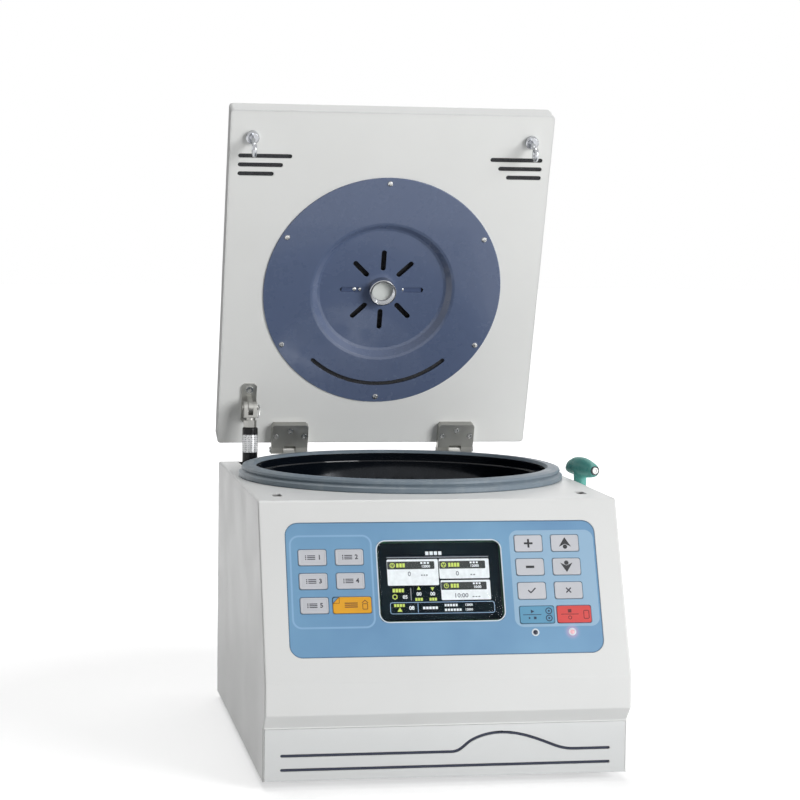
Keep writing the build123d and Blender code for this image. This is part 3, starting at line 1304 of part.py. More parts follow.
def rotor_key_holder():
    """Wall clip on the right side with a bore that the key's blade hangs in."""
    top = TOOL_STEM_END_Z - GAP
    plate = box_between(
        (HALF_W, TOOL_Y - HOLDER_PLATE_W / 2, top - HOLDER_PLATE_H),
        (HALF_W + HOLDER_PLATE_T, TOOL_Y + HOLDER_PLATE_W / 2, top),
    )
    arm = box_between((HALF_W, TOOL_Y - HOLDER_R, top - HOLDER_H), (TOOL_X, TOOL_Y + HOLDER_R, top))
    holder = plate + arm + cyl_z(HOLDER_R, top - HOLDER_H, top, TOOL_X, TOOL_Y)
    bore = TOOL_HEX_AF / math.sqrt(3) + GAP
    holder -= cyl_z(bore, top - HOLDER_H - 1, top + 1, TOOL_X, TOOL_Y)
    return holder


def rotor_key_grip():
    """Moulded T grip: a rounded bar with a hanging hole and a round stem."""
    half = TOOL_BAR_L / 2
    bar = Box(TOOL_BAR_W, TOOL_BAR_L, TOOL_BAR_H)
    bar = fillet(bar.edges().filter_by(Axis.Y), TOOL_BAR_W / 2 - 1)
    ends = bar.faces().sort_by(Axis.Y)[0].edges() + bar.faces().sort_by(Axis.Y)[-1].edges()
    bar = fillet(ends, TOOL_END_R)
    bar -= Pos(0, half - TOOL_HANG_IN, 0) * Rot(0, 90, 0) * Cylinder(TOOL_HANG_R, TOOL_BAR_W + 2)
    stem_l = TOOL_BAR_Z - TOOL_STEM_END_Z
    stem = Pos(0, 0, -stem_l / 2) * Cylinder(TOOL_STEM_R, stem_l)
    stem = chamfer(stem.edges().group_by(Axis.Z)[0], 1.5)
    grip = bar + stem
    grip -= extrude(
        Plane.XY.offset(TOOL_STEM_END_Z - TOOL_BAR_Z - 1)
        * RegularPolygon(TOOL_HEX_AF / 2 + SEAT, 6, major_radius=False), stem_l + 1)
    short = Plane(origin=(0, -half - 1, 0), x_dir=(1, 0, 0), z_dir=(0, 1, 0))
    grip -= extrude(short * RegularPolygon(TOOL_HEX_AF / 2 + SEAT, 6, major_radius=False), half + 1)
    return Pos(TOOL_X, TOOL_Y, TOOL_BAR_Z) * Rot(0, 0, TOOL_TURN) * grip


def rotor_key_blade():
    """Hexagon steel of the key: the long blade and the short leg through the grip."""
    hexagon = RegularPolygon(TOOL_HEX_AF / 2, 6, major_radius=False)
    blade = extrude(Plane.XY.offset(TOOL_BLADE_END_Z - TOOL_BAR_Z) * hexagon, TOOL_BAR_Z - TOOL_BLADE_END_Z)
    half = TOOL_BAR_L / 2
    short = Plane(origin=(0, -half - 2, 0), x_dir=(1, 0, 0), z_dir=(0, 1, 0))
    blade += extrude(short * hexagon, half + 2)
    return Pos(TOOL_X, TOOL_Y, TOOL_BAR_Z) * Rot(0, 0, TOOL_TURN) * blade


NODES = {
    "cover_shell": cover_shell,
    "plinth_panel": plinth_panel,
    "base_pan": base_pan,
    "feet": feet,
    "rear_panel": rear_panel,
    "chamber_bowl": chamber_bowl,
    "chamber_gasket": chamber_gasket,
    "motor_mount_plate": motor_mount_plate,
    "motor_dampers": motor_dampers,
    "drive_motor": drive_motor,
    "spindle_boot": spindle_boot,
    "drive_shaft": drive_shaft,
    "rotor_body": rotor_body,
    "rotor_nut": rotor_nut,
    "control_board": control_board,
    "keypad_overlay": keypad_overlay,
    "display_window": display_window,
    "display_module": display_module,
    "status_lamps": status_lamps,
    "lock_housings": lock_housings,
    "hinge_brackets": hinge_brackets,
    "hinge_pins": hinge_pins,
    "hinge_blocks": hinge_blocks,
    "lid_screws": lid_screws,
    "lid_cover": lid_cover,
    "lid_liner": lid_liner,
    "lid_filler": lid_filler,
    "lid_dish": lid_dish,
    "dish_screws": dish_screws,
    "centre_plug": centre_plug,
    "lid_strikers": lid_strikers,
    "strut_bracket": strut_bracket,
    "strut_clevis": strut_clevis,
    "strut_tube": strut_tube,
    "strut_rod": strut_rod,
    "strut_anchor": strut_anchor,
    "fan_frame": fan_frame,
    "fan_impeller": fan_impeller,
    "power_entry": power_entry,
    "power_rocker": power_rocker,
    "drive_inverter": drive_inverter,
    "rotor_key_holder": rotor_key_holder,
    "rotor_key_grip": rotor_key_grip,
    "rotor_key_blade": rotor_key_blade,
}

os.makedirs("parts", exist_ok=True)
shapes = {name: make() for name, make in NODES.items()}
shapes["lock_catch_left"] = lock_catch(-1)
shapes["lock_catch_right"] = lock_catch(1)
for key, place in KEYS.items():
    shapes[key] = key_cap(*place)
for name, shape in shapes.items():
    export_step(shape, f"parts/{name}.step")
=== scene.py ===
from math import cos, radians, sin

import bmesh
import bpy
from mathutils import Matrix, Vector


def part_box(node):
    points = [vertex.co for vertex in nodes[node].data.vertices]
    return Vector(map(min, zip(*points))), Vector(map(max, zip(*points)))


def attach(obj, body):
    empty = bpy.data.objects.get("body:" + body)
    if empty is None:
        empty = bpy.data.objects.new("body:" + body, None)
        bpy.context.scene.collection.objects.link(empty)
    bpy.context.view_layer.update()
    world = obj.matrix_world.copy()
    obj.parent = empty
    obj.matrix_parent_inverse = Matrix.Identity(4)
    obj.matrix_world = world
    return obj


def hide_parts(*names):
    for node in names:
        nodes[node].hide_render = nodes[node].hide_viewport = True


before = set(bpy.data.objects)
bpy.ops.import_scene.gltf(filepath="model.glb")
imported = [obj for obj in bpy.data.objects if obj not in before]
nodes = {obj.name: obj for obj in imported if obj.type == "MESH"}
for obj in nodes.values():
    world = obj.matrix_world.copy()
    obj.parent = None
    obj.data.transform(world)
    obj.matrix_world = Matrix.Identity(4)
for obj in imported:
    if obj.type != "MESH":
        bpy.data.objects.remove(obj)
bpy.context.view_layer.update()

MM = 0.001

# Camera, as fitted to the photo
CAMERA_PLACE = Vector((-0.44614, -2.52762, 0.54741))
CAMERA_YAW = radians(9.97528)
CAMERA_PITCH = radians(4.07202)
CAMERA_ROLL = radians(0.67812)
CAMERA_LENS = 104.474

# Fields of the overlay in millimetres from its middle: middle, width, height and corner radius
LEFT_GROUP = (-113.6, 8.1, 81.8, 94.2, 9)
RIGHT_GROUP = (113.2, 8.7, 87.5, 100.5, 9)
OVERLAY_RADIUS = 13


def srgb(red, green, blue):
    """A colour written as the photo's 0 to 255 values."""
    parts = [part / 255 for part in (red, green, blue)]
    return (*(part / 12.92 if part <= 0.04045 else ((part + 0.055) / 1.055) ** 2.4 for part in parts), 1)


def scaled(colour, share, lift=0):
    return (*(min(1, part * share + lift) for part in colour[:3]), 1)


# Places


def points_of(node):
    return [vertex.co for vertex in nodes[node].data.vertices]


def corners(points):
    """Lowest and highest corner of some points."""
    return [Vector(pick_one(point[i] for point in points) for i in range(3)) for pick_one in (min, max)]


def leaning_frame(node, towards):
    """Right, up and outward axes in the middle of a node's largest face that looks towards a direction."""
    areas, sums = {}, {}
    for face in nodes[node].data.polygons:
        if face.normal.dot(towards) > 0.5:
            key = tuple(round(part, 1) for part in face.normal)
            areas[key] = areas.get(key, 0) + face.area
            sums[key] = sums.get(key, Vector()) + face.normal * face.area
    out = sums[max(areas, key=areas.get)].normalized()
    right = Vector((1, 0, 0))
    up = out.cross(right)
    low, high = corners([(point.x, point.dot(up), point.dot(out)) for point in points_of(node)])
    middle = right * (low.x + high.x) / 2 + up * (low.y + high.y) / 2 + out * high.z
    return Matrix.Translation(middle) @ Matrix((right, up, out)).transposed().to_4x4()


def extent(node, place):
    """Lowest and highest corner of a node in a leaning frame."""
    back = place.inverted()
    return corners([back @ point for point in points_of(node)])


def levels(node, place):
    """The depths at which a node has vertices, the deepest first."""
    back = place.inverted()
    return sorted({round((back @ point).z, 6) for point in points_of(node)})


def ring_middle(node, height, reach=0.6 * MM):
    """Middle of a node's vertices near a height."""
    low, high = corners([point for point in points_of(node) if abs(point.z - height) < reach])
    return (low + high) / 2


def at(place, x=0, y=0, z=0):
    return place @ Matrix.Translation((x, y, z))


PANEL = leaning_frame("keypad_overlay", Vector((0, -0.918, 0.396)))
LID = leaning_frame("lid_liner", Vector((0, -0.94, -0.342)))


# Mesh helpers


def clear_selection():
    bpy.ops.object.select_all(action="DESELECT")


def activate(piece):
    clear_selection()
    piece.select_set(True)
    bpy.context.view_layer.objects.active = piece


def added(name, size=(1, 1, 1)):
    """Names and sizes the new primitive and puts its place into its mesh."""
    piece = bpy.context.object
    piece.name = piece.data.name = name
    piece.scale = size
    activate(piece)
    bpy.ops.object.transform_apply(location=True, rotation=True, scale=True)
    return piece


def edit(piece, kind="FACE", chosen="SELECT"):
    activate(piece)
    bpy.ops.object.mode_set(mode="EDIT")
    bpy.ops.mesh.select_mode(type=kind)
    bpy.ops.mesh.select_all(action=chosen)
    return bmesh.from_edit_mesh(piece.data)


def pick(piece, wanted, kind="FACE"):
    mesh = edit(piece, kind, "DESELECT")
    for part in mesh.faces if kind == "FACE" else mesh.edges:
        part.select_set(bool(wanted(part)))
    bmesh.update_edit_mesh(piece.data)


def done():
    bpy.ops.object.mode_set(mode="OBJECT")


def apply_modifier(piece, kind, **values):
    activate(piece)
    modifier = piece.modifiers.new(kind.title(), kind)
    for key, value in values.items():
        setattr(modifier, key, value)
    bpy.ops.object.modifier_apply(modifier=modifier.name)
    return piece


def soften(piece, width, segments):
    return apply_modifier(piece, "BEVEL", width=width, segments=segments, limit_method="ANGLE", angle_limit=radians(60))


def smooth(piece, angle=35):
    activate(piece)
    bpy.ops.object.shade_smooth_by_angle(angle=radians(angle))
    return piece


def outward(piece):
    """Merges doubles and turns all faces outward."""
    edit(piece)
    bpy.ops.mesh.remove_doubles(threshold=0.001 * MM)
    bpy.ops.mesh.normals_make_consistent(inside=False)
    done()
    return piece


def put(piece, place):
    piece.data.transform(place)
    piece.data.update()
    return piece


def raised(height):
    """Extrudes the picked faces upward."""
    bpy.ops.mesh.extrude_region_move(TRANSFORM_OT_translate={"value": (0, 0, height)})


def slab(name, width, height, thick, radius, steps=6):
    """A plate with rounded upright edges, its face at height 0."""
    bpy.ops.mesh.primitive_cube_add(size=1, location=(0, 0, -thick / 2))
    piece = added(name, (width, height, thick))
    pick(piece, lambda edge: abs(edge.verts[0].co.z - edge.verts[1].co.z) > thick / 2, "EDGE")
    bpy.ops.mesh.bevel(offset=radius, segments=steps, affect="EDGES")
    done()
    return piece


def turned(name, rings, sides=40, unit=MM):
    """A turned piece about the Z axis from its rings, each a radius and a height."""
    rings = [(radius * unit, height * unit) for radius, height in rings]
    radius, height = rings[0]
    bpy.ops.mesh.primitive_circle_add(vertices=sides, radius=radius, fill_type="NGON", location=(0, 0, height))
    piece = added(name)
    edit(piece)
    for (old, low), (new, high) in zip(rings, rings[1:]):
        raised(high - low)
        bpy.ops.transform.resize(value=(new / old, new / old, 1), center_override=(0, 0, high))
    done()
    return smooth(outward(piece))


def band(name, radius, low, high, wall, sides=48):
    """A thin open sleeve about the Z axis."""
    bpy.ops.mesh.primitive_cylinder_add(
        vertices=sides, radius=radius, depth=high - low, end_fill_type="NOTHING", location=(0, 0, (low + high) / 2)
    )
    return smooth(outward(apply_modifier(added(name), "SOLIDIFY", thickness=wall, offset=-1)))


# Flat marks, measured in millimetres and degrees


def bar(x, y, width, height, turn=0):
    bpy.ops.mesh.primitive_plane_add(size=1, location=(x * MM, y * MM, 0), rotation=(0, 0, radians(turn)))
    return added("mark", (width * MM, height * MM, 1))


def round_bar(x, y, width, height, radius):
    piece = bar(x, y, width, height)
    edit(piece, "VERT")
    bpy.ops.mesh.bevel(offset=radius * MM, segments=4, affect="VERTICES")
    done()
    return piece


def disc(x, y, radius, sides=24, turn=0):
    place, turn = (x * MM, y * MM, 0), (0, 0, radians(turn))
    bpy.ops.mesh.primitive_circle_add(
        vertices=sides, radius=radius * MM, fill_type="NGON", location=place, rotation=turn
    )
    return added("mark")


def polygon(*points):
    piece = disc(0, 0, 1, len(points))
    for vertex, (x, y) in zip(piece.data.vertices, points):
        vertex.co = (x * MM, y * MM, 0)
    return outward(piece)


def outline(stroke, draw, *values):
    """Only the outline of a flat mark."""
    piece = draw(*values)
    edit(piece)
    bpy.ops.mesh.inset(thickness=stroke * MM)
    bpy.ops.mesh.delete(type="FACE")
    done()
    return piece


def words(x, y, body, size, squeeze=1):
    bpy.ops.object.text_add(location=(x * MM, y * MM, 0))
    text = bpy.context.object
    text.data.body = body
    text.data.size = size * MM
    text.data.align_x = text.data.align_y = "CENTER"
    text.data.resolution_u = 3
    text.data.offset = size * MM * 0.03
    activate(text)
    bpy.ops.object.convert(target="MESH")
    return added("mark", (squeeze, 1, 1))


def marks(name, rows, place, thick=0.03):
    """Draws and joins flat marks, gives them their thickness and places them on a leaning frame."""
    parts = [draw(*values) for draw, *values in rows]
    clear_selection()
    for part in parts:
        part.select_set(True)
    bpy.context.view_layer.objects.active = parts[0]
    if len(parts) > 1:
        bpy.ops.object.join()
    piece = bpy.context.object
    piece.name = piece.data.name = name
    pick(piece, lambda face: face.normal.z < 0)
    bpy.ops.mesh.flip_normals()
    done()
    return put(apply_modifier(piece, "SOLIDIFY", thickness=thick * MM, offset=1), place)


# Shader helpers


class Tree:
    """Short calls for a node tree."""

    def __init__(self, tree):
        self.tree = tree

    def add(self, kind, inputs=None, **values):
        node = self.tree.nodes.new(kind)
        for key, value in values.items():
            setattr(node, key, value)
        for key, value in (inputs or {}).items():
            self.feed(node.inputs[key], value)
        return node

    def feed(self, socket, value):
        if isinstance(value, bpy.types.NodeSocket):
            self.tree.links.new(value, socket)
        else:
            socket.default_value = value

    def math(self, operation, first, second=0, third=0):
        return self.add("ShaderNodeMath", {0: first, 1: second, 2: third}, operation=operation).outputs[0]

    def times(self, first, second):
        return self.math("MULTIPLY", first, second)

    def vector(self, operation, first, second=(0, 0, 0)):
        return self.add("ShaderNodeVectorMath", {0: first, 1: second}, operation=operation).outputs

    def ramp(self, value, low, high, start=0, end=1):
        """Straight change of a value between two limits."""
        limits = {"Value": value, "From Min": low, "From Max": high, "To Min": start, "To Max": end}
        return self.add("ShaderNodeMapRange", limits, clamp=True).outputs["Result"]

    def blend(self, share, first, second):
        return self.add("ShaderNodeMix", {0: share, 6: first, 7: second}, data_type="RGBA").outputs[2]

    def noise(self, vector, scale, detail=2, rough=0.5):
        inputs = {"Vector": vector, "Scale": scale, "Detail": detail, "Roughness": rough}
        return self.add("ShaderNodeTexNoise", inputs).outputs["Fac"]

    def cells(self, vector, scale, distance="EUCLIDEAN"):
        node = self.add("ShaderNodeTexVoronoi", {"Vector": vector, "Scale": scale}, distance=distance, feature="F1")
        return node.outputs["Distance"]

    def placed(self, vector, turn):
        """Coordinates turned and moved by a matrix."""
        node = self.add("ShaderNodeMapping", {"Vector": vector}, vector_type="POINT")
        node.inputs["Rotation"].default_value = turn.to_euler()
        node.inputs["Location"].default_value = turn.translation
        return node.outputs["Vector"]

    def group(self, tree, **inputs):
        inputs = {key.replace("_", " "): value for key, value in inputs.items()}
        return self.add("ShaderNodeGroup", inputs, node_tree=tree).outputs


def new_group(name, outputs, **inputs):
    """An empty shader group with its sockets. Returns its tree, its given values and its results."""
    tree = bpy.data.node_groups.new(name, "ShaderNodeTree")
    for label, default in inputs.items():
        kind = default if isinstance(default, str) else "Vector" if isinstance(default, tuple) else "Float"
        name = label.replace("_", " ")
        socket = tree.interface.new_socket(name=name, in_out="INPUT", socket_type="NodeSocket" + kind)
        if not isinstance(default, str):
            socket.default_value = default
    for label, kind in outputs.items():
        tree.interface.new_socket(name=label, in_out="OUTPUT", socket_type="NodeSocket" + kind)
    return Tree(tree), tree.nodes.new("NodeGroupInput").outputs, tree.nodes.new("NodeGroupOutput").inputs


def group_grain():
    """Fine surface grain as a height."""
    t, given, result = new_group("Fine grain", {"Height": "Float"}, Vector="Vector", Scale=900, Coarse_share=0.3)
    fine = t.noise(given["Vector"], given["Scale"], 3, 0.6)
    coarse = t.noise(given["Vector"], t.times(given["Scale"], 0.13))
    t.feed(result["Height"], t.math("MULTIPLY_ADD", coarse, given["Coarse share"], fine))
    return t.tree


def group_tone():
    """Slow change between two close colours."""
    t, given, result = new_group(
        "Uneven tone", {"Colour": "Color"}, Vector="Vector", Light="Color", Dark="Color", Scale=9
    )
    share = t.ramp(t.noise(given["Vector"], given["Scale"], 4, 0.55), 0.36, 0.66)
    t.feed(result["Colour"], t.blend(share, given["Dark"], given["Light"]))
    return t.tree


def group_edge():
    """Rounded normal, and a broken mask along the edges."""
    t, given, result = new_group(
        "Worn edge", {"Mask": "Float", "Normal": "Vector"}, Vector="Vector", Radius=0.0008, Amount=0.6
    )
    soft = t.add("ShaderNodeBevel", {"Radius": given["Radius"]}, samples=4).outputs["Normal"]
    true = t.add("ShaderNodeNewGeometry").outputs["Normal"]
    edge = t.ramp(t.vector("DOT_PRODUCT", soft, true)["Value"], 0.995, 0.86)
    broken = t.ramp(t.noise(given["Vector"], 160, 4, 0.65), 0.4, 0.6)
    t.feed(result["Mask"], t.times(t.times(edge, broken), given["Amount"]))
    t.feed(result["Normal"], soft)
    return t.tree


def group_smudge():
    """Roughness that changes in soft patches."""
    t, given, result = new_group("Smudge", {"Roughness": "Float"}, Vector="Vector", Low=0.3, High=0.45, Scale=24)
    wide = t.noise(given["Vector"], given["Scale"], 3, 0.6)
    fine = t.noise(given["Vector"], t.times(given["Scale"], 9))
    both = t.math("MULTIPLY_ADD", fine, 0.3, t.times(wide, 0.7))
    t.feed(result["Roughness"], t.ramp(both, 0.35, 0.65, given["Low"], given["High"]))
    return t.tree


def group_brushed():
    """Fine lines along one direction, as a height."""
    t, given, result = new_group("Brushed lines", {"Height": "Float"}, Vector="Vector", Stretch=(1, 1, 1), Scale=500)
    stretched = t.vector("MULTIPLY", given["Vector"], given["Stretch"])["Vector"]
    t.feed(result["Height"], t.noise(stretched, given["Scale"], 3, 0.7))
    return t.tree


def group_area():
    """Inside and outline masks of a rounded rectangle that is drawn on a plane."""
    sizes = {name: 0.01 for name in ("X", "Y", "Half_width", "Half_height", "Radius", "Stroke")}
    t, given, result = new_group("Rounded area", {"Inside": "Float", "Outline": "Float"}, Vector="Vector", **sizes)
    split = t.add("ShaderNodeSeparateXYZ", {"Vector": given["Vector"]}).outputs
    legs = []
    for axis, half in (("X", "Half width"), ("Y", "Half height")):
        away = t.math("ABSOLUTE", t.math("SUBTRACT", split[axis], given[axis]))
        legs.append(t.math("SUBTRACT", away, t.math("SUBTRACT", given[half], given["Radius"])))
    outer = [t.math("MAXIMUM", leg, 0) for leg in legs]
    squares = t.math("MULTIPLY_ADD", outer[0], outer[0], t.times(outer[1], outer[1]))
    within = t.math("MINIMUM", t.math("MAXIMUM", *legs), 0)
    distance = t.math("SUBTRACT", t.math("ADD", t.math("SQRT", squares), within), given["Radius"])
    t.feed(result["Inside"], t.ramp(distance, 0.00015, -0.00015))
    near = t.math("SUBTRACT", t.math("ABSOLUTE", distance), t.times(given["Stroke"], 0.5))
    t.feed(result["Outline"], t.ramp(near, 0.0002, -0.0001))
    return t.tree


GRAIN = group_grain()
TONE = group_tone()
EDGE = group_edge()
SMUDGE = group_smudge()
BRUSHED = group_brushed()
AREA = group_area()


# Finishes


class Material(Tree):
    """The tree of a new material, with its shader and the object's coordinates in metres."""

    def __init__(self, name):
        self.material = bpy.data.materials.new(name)
        self.material.use_nodes = True
        super().__init__(self.material.node_tree)
        self.tree.nodes.clear()
        self.shader = self.add("ShaderNodeBsdfPrincipled")
        self.add("ShaderNodeOutputMaterial", {"Surface": self.shader.outputs["BSDF"]})
        self.here = self.add("ShaderNodeTexCoord").outputs["Object"]

    def edge(self, radius, amount):
        return self.group(EDGE, Vector=self.here, Radius=radius, Amount=amount)

    def tone(self, light, dark, scale):
        return self.group(TONE, Vector=self.here, Light=light, Dark=dark, Scale=scale)[0]

    def patches(self, low, high, scale):
        return self.group(SMUDGE, Vector=self.here, Low=low, High=high, Scale=scale)[0]

    def wear(self, **inputs):
        """Feeds the shader. Returns the material."""
        for key, value in inputs.items():
            self.feed(self.shader.inputs[key.replace("_", " ")], value)
        return self.material

    def finish(self, colour, rough, height, strength, depth, edge, **others):
        """Feeds the shader with colour, roughness, relief and others. Returns the material."""
        relief = {"Height": height, "Strength": strength, "Distance": depth, "Normal": edge["Normal"]}
        bump = self.add("ShaderNodeBump", relief).outputs["Normal"]
        return self.wear(Base_Color=colour, Roughness=rough, Normal=bump, **others)


def surface(name, colour, tone, worn, rim, gloss, relief, dust=None, **others):
    """What most finishes share: uneven tone, rubbed edges, soft patches of gloss and a fine relief."""
    t = Material(name)
    edge = t.edge(*rim)
    share = t.ramp(t.noise(t.here, 55, 5, 0.65), 0.5, 0.72, 0, dust) if dust else edge["Mask"]
    base = t.blend(share, t.tone(colour, scaled(colour, tone[0]), tone[1]), worn)
    tree, settings, strength, depth = relief
    height = t.group(tree, Vector=t.here, **settings)[0]
    return t.finish(base, t.patches(*gloss), height, strength, depth, edge, **others)


def painted(
    name, colour, low=0.34, high=0.46, grain=1100, radius=0.0006, chip=None, tone=0.965, strength=0.12, coat=0.05,
    coat_rough=0.25, shine=0.3,
):
    """Stove-enamelled sheet with a faint orange peel."""
    relief = (GRAIN, {"Scale": grain, "Coarse_share": 0.6}, strength, 0.00006)
    return surface(
        name, colour, (tone, 5), srgb(*chip) if chip else scaled(colour, 0.8), (radius, 0.35), (low, high, 16),
        relief, Coat_Weight=coat, Coat_Roughness=coat_rough, Specular_IOR_Level=shine,
    )


def metal(name, colour, low=0.24, high=0.4, stretch=(1, 1, 0.04), scale=700, bright=1.5, strength=0.2):
    """Machined or brushed metal with brighter rubbed edges."""
    relief = (BRUSHED, {"Stretch": stretch, "Scale": scale}, strength, 0.00004)
    worn = scaled(colour, bright)
    return surface(name, colour, (0.86, 30), worn, (0.0004, 0.7), (low, high, 60), relief, Metallic=1)


def chrome(name, colour, low=0.05, high=0.12):
    """Bright plating with faint wipe marks."""
    return metal(name, colour, low, high, (1, 1, 0.2), 300, 1.1, 0.03)


def cast(name, colour, low=0.42, high=0.6):
    """Cast light alloy with a sandy skin."""
    relief = (GRAIN, {"Scale": 1500, "Coarse_share": 0.8}, 0.4, 0.0001)
    worn = scaled(colour, 1.25)
    return surface(name, colour, (0.8, 40), worn, (0.0008, 0.6), (low, high, 50), relief, Metallic=1)


def plastic(name, colour, low=0.36, high=0.5, grain=2600, radius=0.0004, strength=0.14):
    """Moulded plastic with a fine spark-eroded grain."""
    relief = (GRAIN, {"Scale": grain, "Coarse_share": 0.2}, strength, 0.00004)
    worn = scaled(colour, 1.3, 0.01)
    return surface(name, colour, (0.93, 26), worn, (radius, 0.4), (low, high, 45), relief)


def rubber(name, colour, dust, low=0.5, high=0.72, amount=0.35):
    """Moulded rubber with a thin bloom of dust in patches."""
    relief = (GRAIN, {"Scale": 1800, "Coarse_share": 0.5}, 0.3, 0.00006)
    return surface(name, colour, (0.85, 18), srgb(*dust), (0.0008, 0.3), (low, high, 30), relief, amount)


def printed(name, colour, glow=0, rough=0.4):
    """A printed or lit mark with a slightly uneven tone."""
    t = Material(name)
    base, rough = t.tone(colour, scaled(colour, 0.88), 220), t.patches(rough, rough + 0.15, 90)
    if glow:
        return t.wear(Base_Color=(0.01, 0.01, 0.01, 1), Roughness=rough, Emission_Color=base, Emission_Strength=glow)
    return t.wear(Base_Color=base, Roughness=rough)


LAMP_RADIUS = 2.4 * MM
LAMP_RING = 3.9 * MM
# Reach of the red glow that is painted on the film around the lit lamp
PAINTED_GLOW_REACH = 9.5 * MM
KEY_FLANGE = 1.2 * MM
KEY_RADIUS = 2.3 * MM


def overlay_film(name, colour):
    """Printed film of the control panel: fields, outlines, a dark ring around each key that is painted shade of its
    gap, a painted red glow around the lit lamp, and a fine matt texture.
    """
    t = Material(name)
    film = t.placed(t.here, PANEL.inverted())

    def print_area(base, x, y, width, height, radius, stroke, share, ink, kind="Outline"):
        sizes = {"X": x, "Y": y, "Half_width": width / 2, "Half_height": height / 2, "Radius": radius, "Stroke": stroke}
        area = t.group(AREA, Vector=film, **{key: value * MM for key, value in sizes.items()})
        return t.blend(t.times(area[kind], share), base, srgb(*ink))

    base = t.tone(colour, srgb(108, 152, 191), 7)
    low, high = extent("keypad_overlay", PANEL)
    size = (high - low) / MM
    base = print_area(base, 0, 0, size.x, size.y, OVERLAY_RADIUS, 1.6, 0.55, (62, 96, 128))
    base = print_area(base, *LEFT_GROUP, 1.8, 0.75, (150, 190, 224))
    base = print_area(base, *RIGHT_GROUP, 1, 0.9, (156, 190, 216), "Inside")
    # Painted shade: a dark ring printed on the film around each key, where the gap between cap and film lies in shade
    for node in sorted(name for name in nodes if name.startswith("key_")):
        low, high = extent(node, PANEL)
        middle, size = (low + high) / 2 / MM, (high - low) / MM
        grow = 2 * KEY_FLANGE / MM - 0.9
        base = print_area(base, middle.x, middle.y, size.x - grow, size.y - grow, 2.2, 0.7, 0.8, (72, 104, 132))
    # Painted light: the film glows red around the lit lamp and fades out with distance from it
    low, high = extent("status_lamps", PANEL)
    lit = (high.x - LAMP_RADIUS, (low.y + high.y) / 2, 0)
    painted_lamp_glow = t.math("POWER", t.ramp(t.vector("DISTANCE", film, lit)["Value"], PAINTED_GLOW_REACH, LAMP_RADIUS), 2)
    glow, rough = t.blend(painted_lamp_glow, (0, 0, 0, 1), srgb(235, 70, 90)), t.patches(0.3, 0.42, 30)
    grain = t.group(GRAIN, Vector=t.here, Scale=3200, Coarse_share=0.2)[0]
    others = {"Emission_Color": glow, "Emission_Strength": 0.55}
    return t.finish(base, rough, grain, 0.1, 0.00003, t.edge(0.0003, 0.2), **others)


def clear_window(name, colour):
    """Clear hard-coated cover of the display."""
    t = Material(name)
    return t.wear(Base_Color=colour, Roughness=t.patches(0, 0.02, 60), Transmission_Weight=1, IOR=1.08)


def display_film(name, colour):
    """Dark glass of the display module with its fine pixel grid."""
    t = Material(name)
    base, rough = t.tone(colour, srgb(10, 18, 24), 20), t.patches(0.25, 0.4, 80)
    grid, edge = t.noise(t.here, 5200, 0), t.edge(0.0003, 0.1)
    return t.finish(base, rough, grid, 0.05, 0.00002, edge, Specular_IOR_Level=0.04)


def circuit_board(name, colour):
    """Solder-masked board with traces."""
    t = Material(name)
    trace = t.ramp(t.cells(t.here, 260, "MANHATTAN"), 0.28, 0.32)
    base, rough = t.blend(trace, colour, srgb(20, 66, 42)), t.patches(0.3, 0.45, 60)
    return t.finish(base, rough, trace, 0.3, 0.00004, t.edge(0.0003, 0.3))


def gauze(name, colour, wire):
    """Fine dark woven mesh."""
    t = Material(name)
    inputs = {"Vector": t.here, "Scale": 420, "Distortion": 0.3}
    waves = [t.add("ShaderNodeTexWave", inputs, bands_direction=axis).outputs["Fac"] for axis in ("X", "Z")]
    height = t.math("MAXIMUM", *waves)
    base = t.blend(t.ramp(height, 0.6, 0.95), colour, srgb(*wire))
    return t.finish(base, 0.6, height, 0.4, 0.0002, t.edge(0.0003, 0.2))


def lid_foam(name, colour):
    """Open-cell sound-deadening foam."""
    t = Material(name)
    cells = t.cells(t.here, 700)
    base = t.blend(t.ramp(cells, 0.1, 0.6), colour, srgb(54, 55, 58))
    return t.finish(base, 0.9, cells, 0.8, 0.0008, t.edge(0.001, 0.3))


# For the record's slots and the scene's own pieces: family, colour and the rest of its values

WHITE = (236, 237, 236)
UPRIGHT = (1, 1, 0.03)
CROSSWISE = (0.05, 1, 1)
KEY_SKIN = (0.34, 0.46, 2600, 0.0003)

